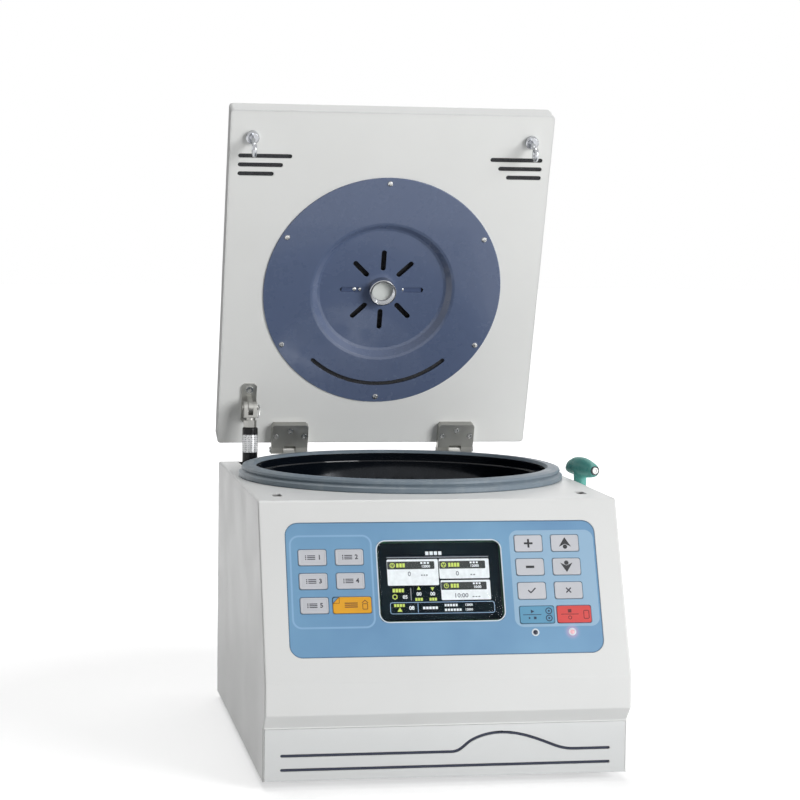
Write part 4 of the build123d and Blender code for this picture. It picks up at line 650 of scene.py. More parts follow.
FINISHES = {
    "case_white": (painted, WHITE),
    "plinth_white": (painted, (226, 228, 228)),
    "rear_white": (painted, WHITE, 0.34, 0.46, 1400),
    "lid_white": (painted, WHITE, 0.6, 0.72, 1100, 0.0006, None, 0.965, 0.12, 0, 0.25, 0.08),
    "liner_white": (painted, (240, 241, 239), 0.38, 0.5),
    "base_steel": (metal, (168, 170, 172), 0.35, 0.5, CROSSWISE),
    "foot_rubber": (rubber, (34, 35, 37), (120, 118, 114)),
    "bowl_black": (painted, (14, 19, 26), 0.06, 0.12, 700, 0.0008, (60, 66, 76), 0.8, 0.03, 0.3, 0.03, 0.5),
    "gasket_rubber": (rubber, (118, 132, 143), (170, 176, 178), 0.36, 0.5, 0.2),
    "rotor_alu": (metal, (176, 180, 186), 0.22, 0.36, (1, 1, 0.02)),
    "nut_steel": (metal, (196, 198, 200), 0.16, 0.28),
    "shaft_steel": (metal, (180, 182, 184), 0.2, 0.3, UPRIGHT),
    "motor_alu": (cast, (150, 152, 156)),
    "plate_steel": (metal, (160, 162, 160), 0.34, 0.5, CROSSWISE),
    "damper_rubber": (rubber, (30, 30, 32), (90, 90, 90)),
    "boot_rubber": (rubber, (36, 37, 40), (100, 100, 102)),
    "inverter_alu": (cast, (140, 142, 146)),
    "fan_black": (plastic, (30, 31, 33)),
    "fan_blade": (plastic, (38, 39, 42), 0.4, 0.52),
    "overlay_blue": (overlay_film, (122, 168, 203)),
    "window_clear": (clear_window, (251.6, 252.7, 252.7)),
    "display_dark": (display_film, (20, 32, 38)),
    "board_green": (circuit_board, (30, 92, 58)),
    "lamp_lens": (plastic, (214, 222, 230), 0.12, 0.2, 2600, 0.0004, 0.02),
    "key_grey": (plastic, (206, 208, 214), *KEY_SKIN),
    "key_orange": (plastic, (236, 170, 34), *KEY_SKIN),
    "key_blue": (plastic, (96, 158, 192), *KEY_SKIN),
    "key_red": (plastic, (222, 74, 72), *KEY_SKIN),
    "lock_steel": (metal, (150, 150, 150), 0.34, 0.5),
    "catch_steel": (metal, (180, 180, 182), 0.2, 0.3),
    "hinge_steel": (metal, (176, 176, 172), 0.34, 0.48, (0.06, 1, 1), 520, 1.2),
    "pin_steel": (metal, (196, 198, 200), 0.14, 0.24),
    "screw_steel": (metal, (198, 199, 198), 0.16, 0.28, (1, 1, 1), 900),
    "striker_chrome": (chrome, (186, 188, 192), 0.06, 0.14),
    "strut_black": (painted, (20, 21, 23), 0.2, 0.3, 1500, 0.0004, (70, 72, 74), 0.85, 0.06, 0.05, 0.1, 0.2),
    "rod_chrome": (chrome, (238.6, 239.8, 241)),
    "dish_blue": (painted, (92, 106, 136), 0.22, 0.32, 1300, 0.0006, (150, 160, 178), 0.95, 0.08, 0.4, 0.06, 0.35),
    "plug_white": (plastic, (232, 236, 233), 0.3, 0.42),
    "filler_foam": (lid_foam, (22, 23, 25)),
    "inlet_black": (plastic, (28, 29, 31)),
    "rocker_black": (plastic, (24, 25, 27), 0.22, 0.34),
    "grip_teal": (plastic, (88, 170, 160), 0.24, 0.36, 1600, 0.0008, 0.08),
    "blade_steel": (metal, (186, 188, 190), 0.18, 0.3, UPRIGHT),
    "holder_grey": (metal, (170, 171, 170), 0.34, 0.48),
    "ink_dark": (printed, (12, 16, 24)),
    "ink_soft": (printed, (48, 50, 62)),
    "ink_navy": (printed, (14, 40, 70)),
    "ink_brown": (printed, (104, 54, 8)),
    "ink_maroon": (printed, (96, 14, 20)),
    "ink_light": (printed, (222, 232, 240)),
    "trim_light": (plastic, (226, 236, 244), 0.3, 0.4),
    "screen_white": (printed, (240, 246, 250), 1),
    "screen_grey": (printed, (128, 134, 142), 1),
    "screen_lime": (printed, (206, 226, 96), 1),
    "screen_blue": (printed, (150, 184, 220), 1),
    "screen_dark": (printed, (16, 34, 34), 0.6),
    "lens_dark": (plastic, (10, 18, 44), 0.3, 0.4, 2600, 0.0004, 0.02),
    "lens_lit": (printed, (255, 196, 205), 0.9, 0.2),
    "vent_gauze": (gauze, (22, 27, 44), (58, 64, 84)),
    "strap_blue": (painted, (76, 90, 122), 0.3, 0.4),
    "ferrule_dark": (metal, (70, 76, 78), 0.2, 0.3),
}
finishes = {name: family(name, srgb(*colour), *rest) for name, (family, colour, *rest) in FINISHES.items()}


def dress_nodes():
    """Every node takes the finish that its slot names."""
    for node in nodes.values():
        for place in node.material_slots:
            place.material = finishes[place.material.name.split(".")[0]]


def finish_piece(piece, body, finish, stands_for=()):
    piece.data.materials.clear()
    piece.data.materials.append(finishes[finish])
    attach(piece, body)
    if stands_for:
        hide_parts(*stands_for)


# Keys

PROGRAM_KEYS = ("key_1", "key_2", "key_3", "key_4", "key_5")
KEY_SLOTS = {"key_program": "key_orange", "key_start": "key_blue", "key_stop": "key_red"}
KEY_RIM = 1.5 * MM
KEY_EDGE = 0.14 * MM
KEY_DISH = 0.16 * MM
FOLD = 6.4 * MM
FILM_GAP = 0.15 * MM


def key_cap(node, middle, size):
    """Cap of one key: flange under the overlay, raised face, a rim on the left keys. Returns its height."""
    back, flange, *_, top = levels(node, PANEL)
    cap = slab(node + "_cap", size.x, size.y, flange - back, KEY_RADIUS + KEY_FLANGE)
    if node == "key_program":
        cut_corner(cap, size)
    pick(cap, lambda face: face.normal.z > 0.9 and all(abs(corner.co.z) < 0.004 * MM for corner in face.verts))
    bpy.ops.mesh.inset(thickness=KEY_FLANGE)
    raised(top - flange - KEY_EDGE)
    dished = node in PROGRAM_KEYS
    for inset, step in [(KEY_EDGE, KEY_EDGE)] + [(KEY_RIM, 0), (KEY_EDGE, -KEY_DISH)] * dished:
        bpy.ops.mesh.inset(thickness=inset)
        bpy.ops.transform.translate(value=(0, 0, step))
    done()
    smooth(outward(cap), 20)
    put(cap, at(PANEL, middle.x, middle.y, flange))
    slot = KEY_SLOTS.get(node, "key_grey")
    finish_piece(cap, node, slot, (node,))
    return top - KEY_DISH * dished


def cut_corner(cap, size):
    """Cuts the upper left corner of a cap straight."""
    edit(cap)
    corner = (-size.x / 2 + FOLD + KEY_FLANGE, size.y / 2, 0)
    bpy.ops.mesh.bisect(plane_co=corner, plane_no=(-1, 1, 0), use_fill=True, clear_outer=True)
    done()


def fold_corner(middle, size, top):
    """The turned-down corner of the wide key, and the film beside it."""
    left, high, fold = (-size.x / 2 + KEY_FLANGE) / MM, (size.y / 2 - KEY_FLANGE) / MM, FOLD / MM
    gap, radius = FILM_GAP / MM, KEY_RADIUS / MM
    place = at(PANEL, middle.x, middle.y)
    x, y, far = left + gap, high - gap, fold - 2 * gap
    arc = [radians(turn) for turn in (90, 112.5, 135, 157.5, 180)]
    corner = [(x + radius * (1 + cos(turn)), y - radius * (1 - sin(turn))) for turn in arc]
    film = marks("overlay_corner", [(polygon, *corner, (x, y - far), (x + far, y))], place, 0.05)
    finish_piece(film, "key_program", "overlay_blue")
    place = at(place, z=top)
    flap = (polygon, (left, high - fold), (left + fold, high - fold * 0.94), (left + fold, high))
    finish_piece(marks("key_program_flap", [flap], place, 0.14), "key_program", "key_orange")
    lines = (
        (bar, left + fold / 2, high - fold * 0.97, fold, 0.45), (bar, left + fold, high - fold / 2, 0.45, fold),
        (bar, left + fold / 2, high - fold / 2, fold * 1.41, 0.45, 45),
    )
    finish_piece(marks("key_program_fold", lines, at(place, z=0.15 * MM)), "key_program", "ink_brown")


# Ink of each key and its marks, each a way to draw with what it takes
KEY_MARKS = {
    "key_program": ("ink_brown", (
        (bar, -1, -2, 13, 1.05), (bar, -1, 0, 13, 1.05), (bar, -1, 2, 13, 1.05), (bar, 11.5, 3.4, 4.2, 0.75, 42),
        (bar, 14.5, 3.4, 4.2, 0.75, -42), (outline, 0.7, round_bar, 13, -1.6, 5.6, 6.2, 0.9),
    )),
    "key_plus": ("ink_dark", ((bar, 0, 0, 9, 2), (bar, 0, -2.75, 2, 3.5), (bar, 0, 2.75, 2, 3.5))),
    "key_up": ("ink_dark", (
        (polygon, (0, 6), (0, -1), (-6.4, -4)), (polygon, (0, 6), (0, -1), (6.4, -4)), (disc, 0, -3.9, 2.3, 20),
    )),
    "key_minus": ("ink_dark", ((bar, 0, 0, 8.6, 2.5),)),
    "key_down": ("ink_dark", (
        (polygon, (0, -6), (0, 1), (-6.4, 4)), (polygon, (0, -6), (0, 1), (6.4, 4)), (disc, 0, 3.9, 2.3, 20),
    )),
    "key_confirm": ("ink_soft", ((bar, -2.4, -0.8, 4, 1.3, -45), (bar, 1.35, 0.3, 7.2, 1.3, 45))),
    "key_clear": ("ink_soft", (
        (bar, 0, 0, 7, 1.3, 45), (bar, 1.5, -1.5, 2.85, 1.3, -45), (bar, -1.5, 1.5, 2.85, 1.3, -45),
    )),
    "key_start": ("ink_navy", (
        (disc, -5, 3.3, 2.3, 3, -90), (bar, -5, 0, 19, 0.7), (disc, -8, -3.4, 1.5, 3, -90), (bar, -2.2, -3.4, 2.6, 2.6),
        (outline, 1, disc, 12.3, -3.7, 3.5), (disc, 12.3, -3.7, 1.1, 16), (outline, 1, disc, 12.3, 3.7, 3.5),
        (disc, 12.3, 3.7, 1.1, 16),
    )),
    "key_stop": ("ink_maroon", (
        (bar, -4.5, 3.4, 3.6, 3.6), (bar, -4.5, 0, 18, 0.7), (outline, 0.7, disc, -4.5, -3.5, 2, 20),
        (outline, 0.7, round_bar, 12.6, -0.6, 6, 9, 1.4),
    )),
    **{node: ("ink_soft", (
        (words, 7.2, 0, node[-1], 6.6), (bar, -1, -1.75, 8, 0.95), (bar, -1, 0, 8, 0.95), (bar, -1, 1.75, 8, 0.95),
        (disc, -6.6, -1.75, 0.65, 12), (disc, -6.6, 0, 0.65, 12), (disc, -6.6, 1.75, 0.65, 12),
    )) for node in PROGRAM_KEYS},
}


def build_keys():
    for node, (ink, rows) in KEY_MARKS.items():
        low, high = extent(node, PANEL)
        middle, size = (low + high) / 2, high - low
        top = key_cap(node, middle, size)
        finish_piece(marks(node + "_marks", rows, at(PANEL, middle.x, middle.y, top)), node, ink)
        if node == "key_program":
            fold_corner(middle, size, top)


# Display. Its fields are given in shares of the window's width and height, from the upper left corner

WINDOW_LOW, WINDOW_HIGH = extent("display_window", PANEL)
SCREEN = at(PANEL, WINDOW_LOW.x, WINDOW_HIGH.y, extent("display_module", PANEL)[1].z)
SCREEN_WIDE, SCREEN_TALL = (WINDOW_HIGH - WINDOW_LOW).xy / MM
WINDOW_RADIUS = 9 * MM
BORDER = 1.2 * MM


def field(u0, v0, u1, v1, radius=None):
    """A box from its left, top, right and bottom."""
    box = ((u0 + u1) / 2 * SCREEN_WIDE, -(v0 + v1) / 2 * SCREEN_TALL, (u1 - u0) * SCREEN_WIDE, (v1 - v0) * SCREEN_TALL)
    return round_bar(*box, radius) if radius else bar(*box)


def on_screen(draw, u, v, *rest):
    return draw(u * SCREEN_WIDE, -v * SCREEN_TALL, *rest)


def type_rows(*rows):
    """Small blocks that stand for small type: left, right, height of the middle, count, tallness and gap."""
    parts = []
    for u0, u1, v, count, tall, gap in rows:
        pitch = (u1 - u0) / count
        for i in range(count):
            parts.append((field, u0 + i * pitch, v - tall / 2, u0 + (i + 1 - gap) * pitch, v + tall / 2))
    return parts


def fan_icon(u, v):
    """A ring with three dots."""
    x, y = u * SCREEN_WIDE, -v * SCREEN_TALL
    turns = [radians(turn) for turn in (90, 210, 330)]
    return [(outline, 0.75, disc, x, y, 2.7)] + [(disc, x + 1.1 * cos(t), y + 1.1 * sin(t), 0.6, 12) for t in turns]


# Ink, level and parts of each layer of the lit display
SCREEN_LAYERS = {
    "screen_fields": ("screen_white", 0, [
        (field, 0.075, 0.225, 0.487, 0.551, 1.2), (field, 0.495, 0.225, 0.9, 0.472, 1.2),
        (field, 0.5, 0.492, 0.9, 0.738, 1.2),
    ]),
    "screen_heads": ("screen_dark", 0.03, [
        (field, 0.077, 0.252, 0.458, 0.349, 1), (field, 0.497, 0.252, 0.87, 0.349, 1),
        (field, 0.502, 0.516, 0.87, 0.612, 1),
    ]),
    "screen_lime": ("screen_lime", 0.06, fan_icon(0.118, 0.3) + fan_icon(0.532, 0.3) + [
        (outline, 0.6, on_screen, disc, 0.545, 0.562, 2.5), (outline, 0.9, on_screen, disc, 0.126, 0.69, 2.9, 6),
        (on_screen, disc, 0.16, 0.848, 2.3, 3), (on_screen, disc, 0.32, 0.592, 2.3, 3),
        (on_screen, disc, 0.43, 0.592, 2.3, 3, 180), (field, 0.5425, 0.543, 0.5475, 0.567),
        (field, 0.5475, 0.559, 0.557, 0.567), (field, 0.142, 0.862, 0.178, 0.874),
    ] + type_rows(
        (0.15, 0.225, 0.3, 3, 0.05, 0.22), (0.57, 0.665, 0.3, 4, 0.05, 0.22), (0.58, 0.65, 0.562, 3, 0.05, 0.22),
        (0.11, 0.205, 0.612, 4, 0.045, 0.2), (0.288, 0.352, 0.725, 3, 0.036, 0.2),
        (0.402, 0.465, 0.725, 3, 0.036, 0.2), (0.115, 0.205, 0.797, 4, 0.036, 0.2),
    )),
    "screen_numbers": ("screen_white", 0.06, [(on_screen, words, *row) for row in (
        (0.387, 0.316, "12000", 3.6), (0.782, 0.316, "12000", 3.6), (0.795, 0.58, "10:00", 3.6), (0.32, 0.66, "00", 5),
        (0.43, 0.66, "00", 5), (0.208, 0.695, "05", 5), (0.256, 0.832, "08", 5.4), (0.715, 0.802, "12000", 3.2),
        (0.715, 0.86, "12000", 3.2),
    )] + type_rows(
        (0.39, 0.53, 0.152, 4, 0.045, 0.25), (0.345, 0.425, 0.273, 3, 0.022, 0.35),
        (0.745, 0.82, 0.273, 3, 0.022, 0.35), (0.76, 0.83, 0.536, 3, 0.022, 0.35), (0.345, 0.47, 0.832, 5, 0.032, 0.2),
        (0.52, 0.63, 0.802, 5, 0.03, 0.25), (0.52, 0.66, 0.86, 6, 0.03, 0.25),
    )),
    "screen_greys": ("screen_grey", 0.03, [
        (on_screen, words, 0.252, 0.41, "0", 6.4), (on_screen, words, 0.64, 0.41, "0", 6.4),
        (on_screen, words, 0.66, 0.685, "10:00", 6, 1.1), (field, 0.075, 0.195, 0.9, 0.208),
        (field, 0.252, 0.585, 0.259, 0.735),
    ] + type_rows(
        (0.345, 0.405, 0.425, 3, 0.016, 0.3), (0.745, 0.79, 0.425, 2, 0.016, 0.3), (0.75, 0.82, 0.7, 3, 0.014, 0.3),
    )),
    "screen_outline": ("screen_blue", 0, [
        (outline, 0.6, field, 0.083, 0.758, 0.925, 0.903, 2.4), (field, 0.304, 0.775, 0.309, 0.888),
    ]),
}


def build_screen():
    for name, (ink, level, rows) in SCREEN_LAYERS.items():
        finish_piece(marks(name, rows, at(SCREEN, z=level * MM), 0.02), "casing", ink)


def build_window():
    middle, size = (WINDOW_LOW + WINDOW_HIGH) / 2, WINDOW_HIGH - WINDOW_LOW
    place = at(PANEL, middle.x, middle.y, WINDOW_HIGH.z)
    glass = slab("window_glass", size.x, size.y, 0.7 * MM, WINDOW_RADIUS, 8)
    put(smooth(soften(glass, 0.1 * MM, 2)), place)
    finish_piece(glass, "casing", "window_clear", ("display_window",))
    wide, tall = size.x + 2 * BORDER, size.y + 2 * BORDER
    ring = slab("window_border", wide, tall, 0.12 * MM, WINDOW_RADIUS + BORDER, 8)
    pick(ring, lambda face: abs(face.normal.z) > 0.9)
    bpy.ops.mesh.inset(thickness=BORDER)
    bpy.ops.mesh.bridge_edge_loops()
    done()
    finish_piece(put(smooth(outward(ring)), at(place, z=0.13 * MM)), "casing", "trim_light")


def build_lamps():
    low, high = extent("status_lamps", PANEL)
    rings = [(LAMP_RADIUS, low.z), (LAMP_RADIUS, 0), (LAMP_RADIUS * 0.86, 0.25 * MM), (LAMP_RADIUS * 0.4, 0.38 * MM)]
    for side, x, lens in (("left", low.x + LAMP_RADIUS, "lens_dark"), ("right", high.x - LAMP_RADIUS, "lens_lit")):
        place = at(PANEL, x, (low.y + high.y) / 2)
        piece = put(turned("lamp_lens_" + side, rings, 28, 1), place)
        finish_piece(piece, "casing", lens, ("status_lamps",))
        collar = band("lamp_ring_" + side, LAMP_RING, 0, 0.2 * MM, LAMP_RING - LAMP_RADIUS - 0.05 * MM, 32)
        finish_piece(put(collar, place), "casing", "trim_light")


# Strut

LABEL_TOP = 8.4 * MM
LABEL_LENGTH = 20.6 * MM
LABEL_WALL = 0.15 * MM
LABEL_ROW = 2.4 * MM
LABEL_COLUMN = 3.4 * MM
CLIP_LONG = 8 * MM
CLIP_SHORT = 3.4 * MM
CLIP_WIRE = 0.75 * MM
CLIP_OUT = 1.6 * MM
CLIP_DROP = 3 * MM
CLIP_TURN = radians(-38)


def strut_frame():
    """Frame on the upper end of the strut's tube, with Z along the tube."""
    low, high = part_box("strut_tube")
    top = ring_middle("strut_tube", high.z)
    along = (top - ring_middle("strut_tube", low.z)).normalized()
    right = Vector((1, 0, 0))
    turn = Matrix((right, along.cross(right), along)).transposed()
    return Matrix.Translation(top) @ turn.to_4x4(), (high.x - low.x) / 2


def label_film(name, place):
    """Silver sleeve label with rows of fine grey print."""
    t = Material(name)
    along = t.placed(t.here, place.inverted())
    part = t.add("ShaderNodeSeparateXYZ", {"Vector": along}).outputs
    row = t.math("FRACT", t.times(part["Z"], 1 / LABEL_ROW))
    column = t.math("FRACT", t.times(part["X"], 1 / LABEL_COLUMN))
    wanted = t.times(t.math("LESS_THAN", row, 0.5), t.math("LESS_THAN", column, 0.62))
    ink = t.times(t.times(wanted, t.ramp(t.noise(along, 900), 0.42, 0.5)), 0.75)
    colour, rough = t.blend(ink, srgb(226, 227, 228), srgb(96, 98, 102)), t.patches(0.22, 0.34, 70)
    grain = t.group(GRAIN, Vector=t.here, Scale=2400, Coarse_share=0.2)[0]
    return t.finish(colour, rough, grain, 0.05, 0.00002, t.edge(0.0002, 0.2), Metallic=0.35)


def build_strut():
    place, radius = strut_frame()
    sleeve = band("strut_label", radius + LABEL_WALL, -LABEL_TOP - LABEL_LENGTH, -LABEL_TOP, LABEL_WALL - 0.02 * MM)
    finishes["label_silver"] = label_film("label_silver", place)
    finish_piece(put(sleeve, place), "strut_tube", "label_silver")
    low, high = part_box("strut_clevis")
    upright = (0, radians(90), 0)
    bpy.ops.mesh.primitive_torus_add(
        major_radius=CLIP_LONG, minor_radius=CLIP_WIRE, major_segments=40, minor_segments=10, rotation=upright
    )
    clip = added("strut_clip")
    edit(clip)
    bpy.ops.transform.resize(value=(1, CLIP_SHORT / CLIP_LONG, 1), center_override=(0, 0, 0))
    done()
    spot = Matrix.Translation((high.x + CLIP_OUT, (low.y + high.y) / 2, high.z - CLIP_LONG - CLIP_DROP))
    put(smooth(outward(clip)), spot @ Matrix.Rotation(CLIP_TURN, 4, "Z"))
    finish_piece(clip, "strut_tube", "rod_chrome")


# Viewing port of the lid, in millimetres

PORT_WALL = 2.4
PORT_DEPTH = 10
PORT_THREADS = 4
THREAD_DEPTH = 0.9
STRAP_WIDTH = 11
STRAP_REACH = 47
STRAP_THICK = 0.8
RIVETS = (-32, -25, 24)


def build_port():
    """Threaded collar around a sunk white disc in the middle of the dish."""
    low, high = extent("centre_plug", LID)
    place = at(LID, (low.x + high.x) / 2, (low.y + high.y) / 2)
    radius, base, top = (high.x - low.x) / 2 / MM, low.z / MM, high.z / MM
    bore, floor = radius - PORT_WALL, top - PORT_DEPTH
    rings = [(radius, base), (radius, top - 0.9), (radius - 0.7, top), (bore + 0.7, top), (bore, top - 0.7)]
    pitch = (PORT_DEPTH - 3) / PORT_THREADS
    for i in range(PORT_THREADS):
        level = top - 1.2 - i * pitch
        rings += [(bore, level), (bore - THREAD_DEPTH, level - pitch * 0.45)]
    collar = put(turned("port_collar", rings + [(bore - 0.6, floor), (bore * 0.5, floor)], 56), place)
    finish_piece(collar, "lid", "striker_chrome", ("centre_plug",))
    rings = [(bore - 1.1, floor), (bore - 1.1, floor + 1), (bore - 1.9, floor + 1.7)]
    rings += [(bore * 0.45, floor + 1.95), (bore * 0.1, floor + 2)]
    finish_piece(put(turned("port_disc", rings, 56), place), "lid", "plug_white", ("centre_plug",))
    build_strap(at(place, z=levels("lid_dish", LID)[0] - 0.1 * MM))


def build_strap(place):
    """Flat riveted strap that holds the port from behind, seen through two of the dish's slots."""
    strap = slab("port_strap", 2 * STRAP_REACH * MM, STRAP_WIDTH * MM, STRAP_THICK * MM, 2 * MM)
    pick(strap, lambda face: abs(face.normal.z) > 0.9)
    bpy.ops.mesh.inset(thickness=0.4 * MM)
    done()
    finish_piece(put(smooth(strap), place), "lid", "strap_blue")
    for i, x in enumerate(RIVETS):
        rivet = turned(f"strap_rivet_{i + 1}", [(2.3, 0), (2.2, 0.4), (1.4, 0.8), (0.4, 0.95)], 20)
        finish_piece(put(rivet, at(place, x * MM)), "lid", "screw_steel")


# Plinth, mains rocker and chamber mouth

GAUZE_EDGE = 8 * MM
GAUZE_THICK = 0.6 * MM
SHEET_THICK = 1.5 * MM
LIP_DROP = 3 * MM
LIP_WALL = 0.5 * MM


def build_gauze():
    """Dark mesh behind the slots of the plinth."""
    low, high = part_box("plinth_panel")
    width, height = high.x - low.x - 2 * GAUZE_EDGE, high.z - low.z - 2 * GAUZE_EDGE
    sheet = soften(slab("plinth_gauze", width, height, GAUZE_THICK, 2 * MM), 0.1 * MM, 1)
    spot = Matrix.Translation((0, low.y + SHEET_THICK + 0.1 * MM, (low.z + high.z) / 2))
    put(sheet, spot @ Matrix.Rotation(radians(90), 4, "X"))
    finish_piece(sheet, "casing", "vent_gauze")


def build_mouth():
    """Black turned-up lip of the chamber, against the inner wall of the gasket: partly the bowl's rim, partly a dark
    sleeve that stands for painted shade inside the gasket's mouth.
    """
    low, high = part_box("chamber_gasket")
    middle = (low + high) / 2
    inner = min((point.xy - middle.xy).length for point in points_of("chamber_gasket"))
    # Partly real rim, partly painted shade: the black sleeve darkens the gasket's inner wall
    lip = band("chamber_lip_and_painted_shade", inner - 0.05 * MM, low.z, high.z - LIP_DROP, LIP_WALL, 96)
    finish_piece(put(lip, Matrix.Translation((middle.x, middle.y, 0))), "casing", "bowl_black")


def build_rocker_marks():
    """A line and a ring on the two ends of the rocker."""
    place = leaning_frame("power_rocker", Vector((0, 1, 0)))
    low, high = extent("power_rocker", place)
    reach = (high.y - low.y) * 0.27 / MM
    rows = ((bar, 0, reach, 0.8, 3.2), (outline, 0.5, disc, 0, -reach, 1.8))
    finish_piece(marks("power_rocker_marks", rows, at(place, z=-0.005 * MM)), "rocker", "ink_light")


# Rotor key, in millimetres: sections are half width, half depth, level and shift

GRIP_TURN = radians(13)
GRIP_SECTIONS = (
    (3, 3.4, 28.5, -3), (4.6, 4.9, 27.6, -2.8), (6, 6.6, 25, -2), (7.2, 8.4, 20, -0.8), (7.9, 10.1, 12, 0.3),
    (8, 11, 4, 0.6), (8, 11.2, -5, 0.7), (7.9, 10.9, -13, 0.5), (7.6, 10.1, -20, 0.1), (7.1, 8.8, -27, -0.4),
    (6.5, 7.6, -32, -0.7), (5.8, 6.4, -34.6, -0.7), (5.1, 5.4, -35.4, -0.6),
)
GRIP_STEM = ((7.6, 8.6, -4, 0), (7.2, 8.2, -9, 0), (6.9, 8, -16, 0), (6.8, 7.9, -37.2, 0), (5.6, 6.8, -38.4, 0))
GRIP_LIE = Matrix(((1, 0, 0, 0), (0, 0, 1, 0), (0, 1, 0, 0), (0, 0, 0, 1)))
GRIP_VOXEL = 0.75 * MM
HANG_RADIUS = 2.7 * MM
HANG_Y = 25 * MM
FERRULE = ((5.2, 33), (5.2, 35.9), (4.9, 36.2), (4.4, 36.2), (4.2, 35.5), (0.8, 35.5))
BUTTON = ((3.9, 35.4), (3.9, 36.3), (3.4, 36.7), (2, 36.7), (1.7, 36.2), (0.4, 36.2))


def grip_place():
    """Frame in the middle of the grip, with Y along it towards the hanging hole."""
    foot = ring_middle("rotor_key_blade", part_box("rotor_key_blade")[0].z)
    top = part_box("rotor_key_grip")[1].z
    return Matrix.Translation((foot.x, foot.y, top - 9.5 * MM)) @ Matrix.Rotation(GRIP_TURN, 4, "Z")


def lofted(name, rings, turn=Matrix.Identity(4)):
    """A body from oval rings, turned to its direction."""
    bpy.ops.mesh.primitive_circle_add(vertices=32, radius=1, fill_type="NGON")
    piece = added(name)
    edit(piece)
    old = (1, 1, 0, 0)
    for i, ring in enumerate(rings):
        wide, deep, level, shift = (value * MM for value in ring)
        step = (0, shift - old[3], level - old[2])
        if i:
            bpy.ops.mesh.extrude_region_move(TRANSFORM_OT_translate={"value": step})
        else:
            bpy.ops.transform.translate(value=step)
        bpy.ops.transform.resize(value=(wide / old[0], deep / old[1], 1), center_override=(0, shift, level))
        old = (wide, deep, level, shift)
    done()
    return outward(put(piece, turn))


def build_grip():
    """Plump moulded grip of the rotor key, with its stem, hanging hole, ferrule and button."""
    barrel = lofted("rotor_key_handle", GRIP_SECTIONS, GRIP_LIE)
    stem = lofted("stem", GRIP_STEM)
    bpy.ops.mesh.primitive_cylinder_add(
        vertices=32, radius=HANG_RADIUS, depth=40 * MM, location=(0, HANG_Y, 0), rotation=(0, radians(90), 0)
    )
    hole = added("hole")
    apply_modifier(barrel, "BOOLEAN", operation="UNION", object=stem, solver="EXACT")
    apply_modifier(barrel, "REMESH", mode="VOXEL", voxel_size=GRIP_VOXEL)
    apply_modifier(barrel, "SMOOTH", factor=0.5, iterations=10)
    apply_modifier(barrel, "BOOLEAN", operation="DIFFERENCE", object=hole, solver="EXACT")
    for extra in (stem, hole):
        bpy.data.objects.remove(extra)
    place = grip_place()
    put(smooth(outward(barrel), 40), place)
    finish_piece(barrel, "rotor_key", "grip_teal", ("rotor_key_grip",))
    tip = at(place, z=-0.6 * MM) @ Matrix.Rotation(radians(90), 4, "X")
    ferrule, button = turned("rotor_key_ferrule", FERRULE, 32), turned("rotor_key_button", BUTTON, 28)
    finish_piece(put(ferrule, tip), "rotor_key", "ferrule_dark")
    finish_piece(put(button, tip), "rotor_key", "holder_grey")


# Stage, light and camera

WORLD_LIGHT = 0.09
FLOOR_GLOW = 0.5
FLOOR_NEAR = 0.5
FLOOR_FAR = 1.3

# Name, place, target, size and watts
LIGHTS = (
    ("front_light", (2.6, -3, 1.3), (0, -0.1, 0.35), (2.2, 2.2), 127),
    ("top_light", (-0.3, 0.7, 3.4), (0, 0, 0.2), (2.4, 1.6), 50),
    ("back_light", (1, 4, 0.8), (0, 0, 0.3), (2.2, 1.4), 6),
)


def seen_directly(t):
    """1 for camera, glossy and transmission rays."""
    ray = t.add("ShaderNodeLightPath").outputs
    return t.math("MAXIMUM", t.math("MAXIMUM", ray["Is Camera Ray"], ray["Is Glossy Ray"]), ray["Is Transmission Ray"])


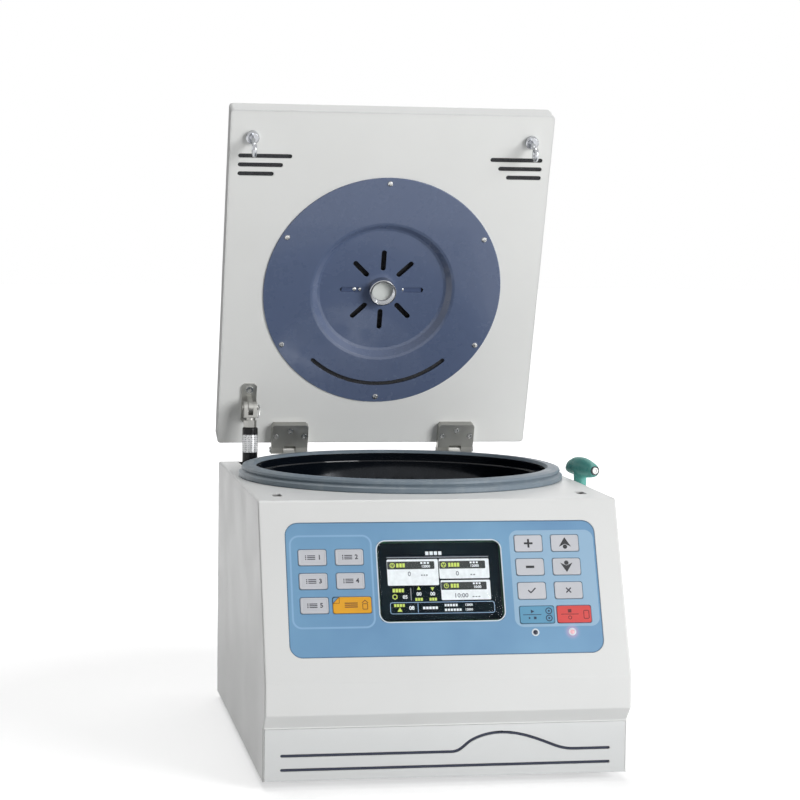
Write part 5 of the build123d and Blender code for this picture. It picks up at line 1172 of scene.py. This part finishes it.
def build_stage():
    """Pale floor that goes over into the white background away from the object."""
    bpy.ops.mesh.primitive_plane_add(size=30, location=(0, 6, -0.0005))
    floor = added("floor")
    t = Material("floor_pale")
    away = t.vector("LENGTH", t.here)["Value"]
    glow = t.times(seen_directly(t), t.ramp(away, FLOOR_NEAR, FLOOR_FAR, FLOOR_GLOW, 1))
    tone = t.tone((0.82, 0.82, 0.82, 1), (0.8, 0.8, 0.8, 1), 1.5)
    t.wear(Base_Color=tone, Roughness=0.9, Emission_Color=(1, 1, 1, 1), Emission_Strength=glow)
    floor.data.materials.append(t.material)


def build_world():
    world = bpy.data.worlds.new("studio")
    bpy.context.scene.world = world
    world.use_nodes = True
    world.node_tree.nodes.clear()
    t = Tree(world.node_tree)
    level = t.ramp(seen_directly(t), 0, 1, WORLD_LIGHT, 1)
    back = t.add("ShaderNodeBackground", {"Color": (1, 1, 1, 1), "Strength": level})
    t.add("ShaderNodeOutputWorld", {"Surface": back.outputs["Background"]})


def linked(data):
    """A new object of the scene for a lamp's or camera's data, under the same name."""
    piece = bpy.data.objects.new(data.name, data)
    bpy.context.scene.collection.objects.link(piece)
    return piece


def area_light(name, place, target, size, watts):
    light = bpy.data.lights.new(name, "AREA")
    light.shape = "RECTANGLE"
    light.size, light.size_y = size
    light.energy = watts
    lamp = linked(light)
    lamp.location = place
    lamp.rotation_euler = (Vector(target) - Vector(place)).to_track_quat("-Z", "Y").to_euler()


def build_camera():
    data = bpy.data.cameras.new("camera")
    data.lens = CAMERA_LENS
    data.sensor_width = 36
    data.clip_start, data.clip_end = 0.05, 100
    camera = linked(data)
    forward = Vector((sin(CAMERA_YAW) * cos(CAMERA_PITCH), cos(CAMERA_YAW) * cos(CAMERA_PITCH), -sin(CAMERA_PITCH)))
    right = Vector((cos(CAMERA_YAW), -sin(CAMERA_YAW), 0))
    up = right.cross(forward)
    across = cos(CAMERA_ROLL) * right + sin(CAMERA_ROLL) * up
    above = -sin(CAMERA_ROLL) * right + cos(CAMERA_ROLL) * up
    turn = Matrix((across, above, -forward)).transposed()
    camera.matrix_world = Matrix.Translation(CAMERA_PLACE) @ turn.to_4x4()
    bpy.context.scene.camera = camera


# Make it all

clear_selection()
build_camera()
dress_nodes()
build_keys()
build_screen()
build_window()
build_lamps()
build_strut()
build_port()
build_gauze()
build_mouth()
build_rocker_marks()
build_grip()
build_stage()
build_world()
for row in LIGHTS:
    area_light(*row)
bpy.context.scene.view_settings.view_transform = "Standard"
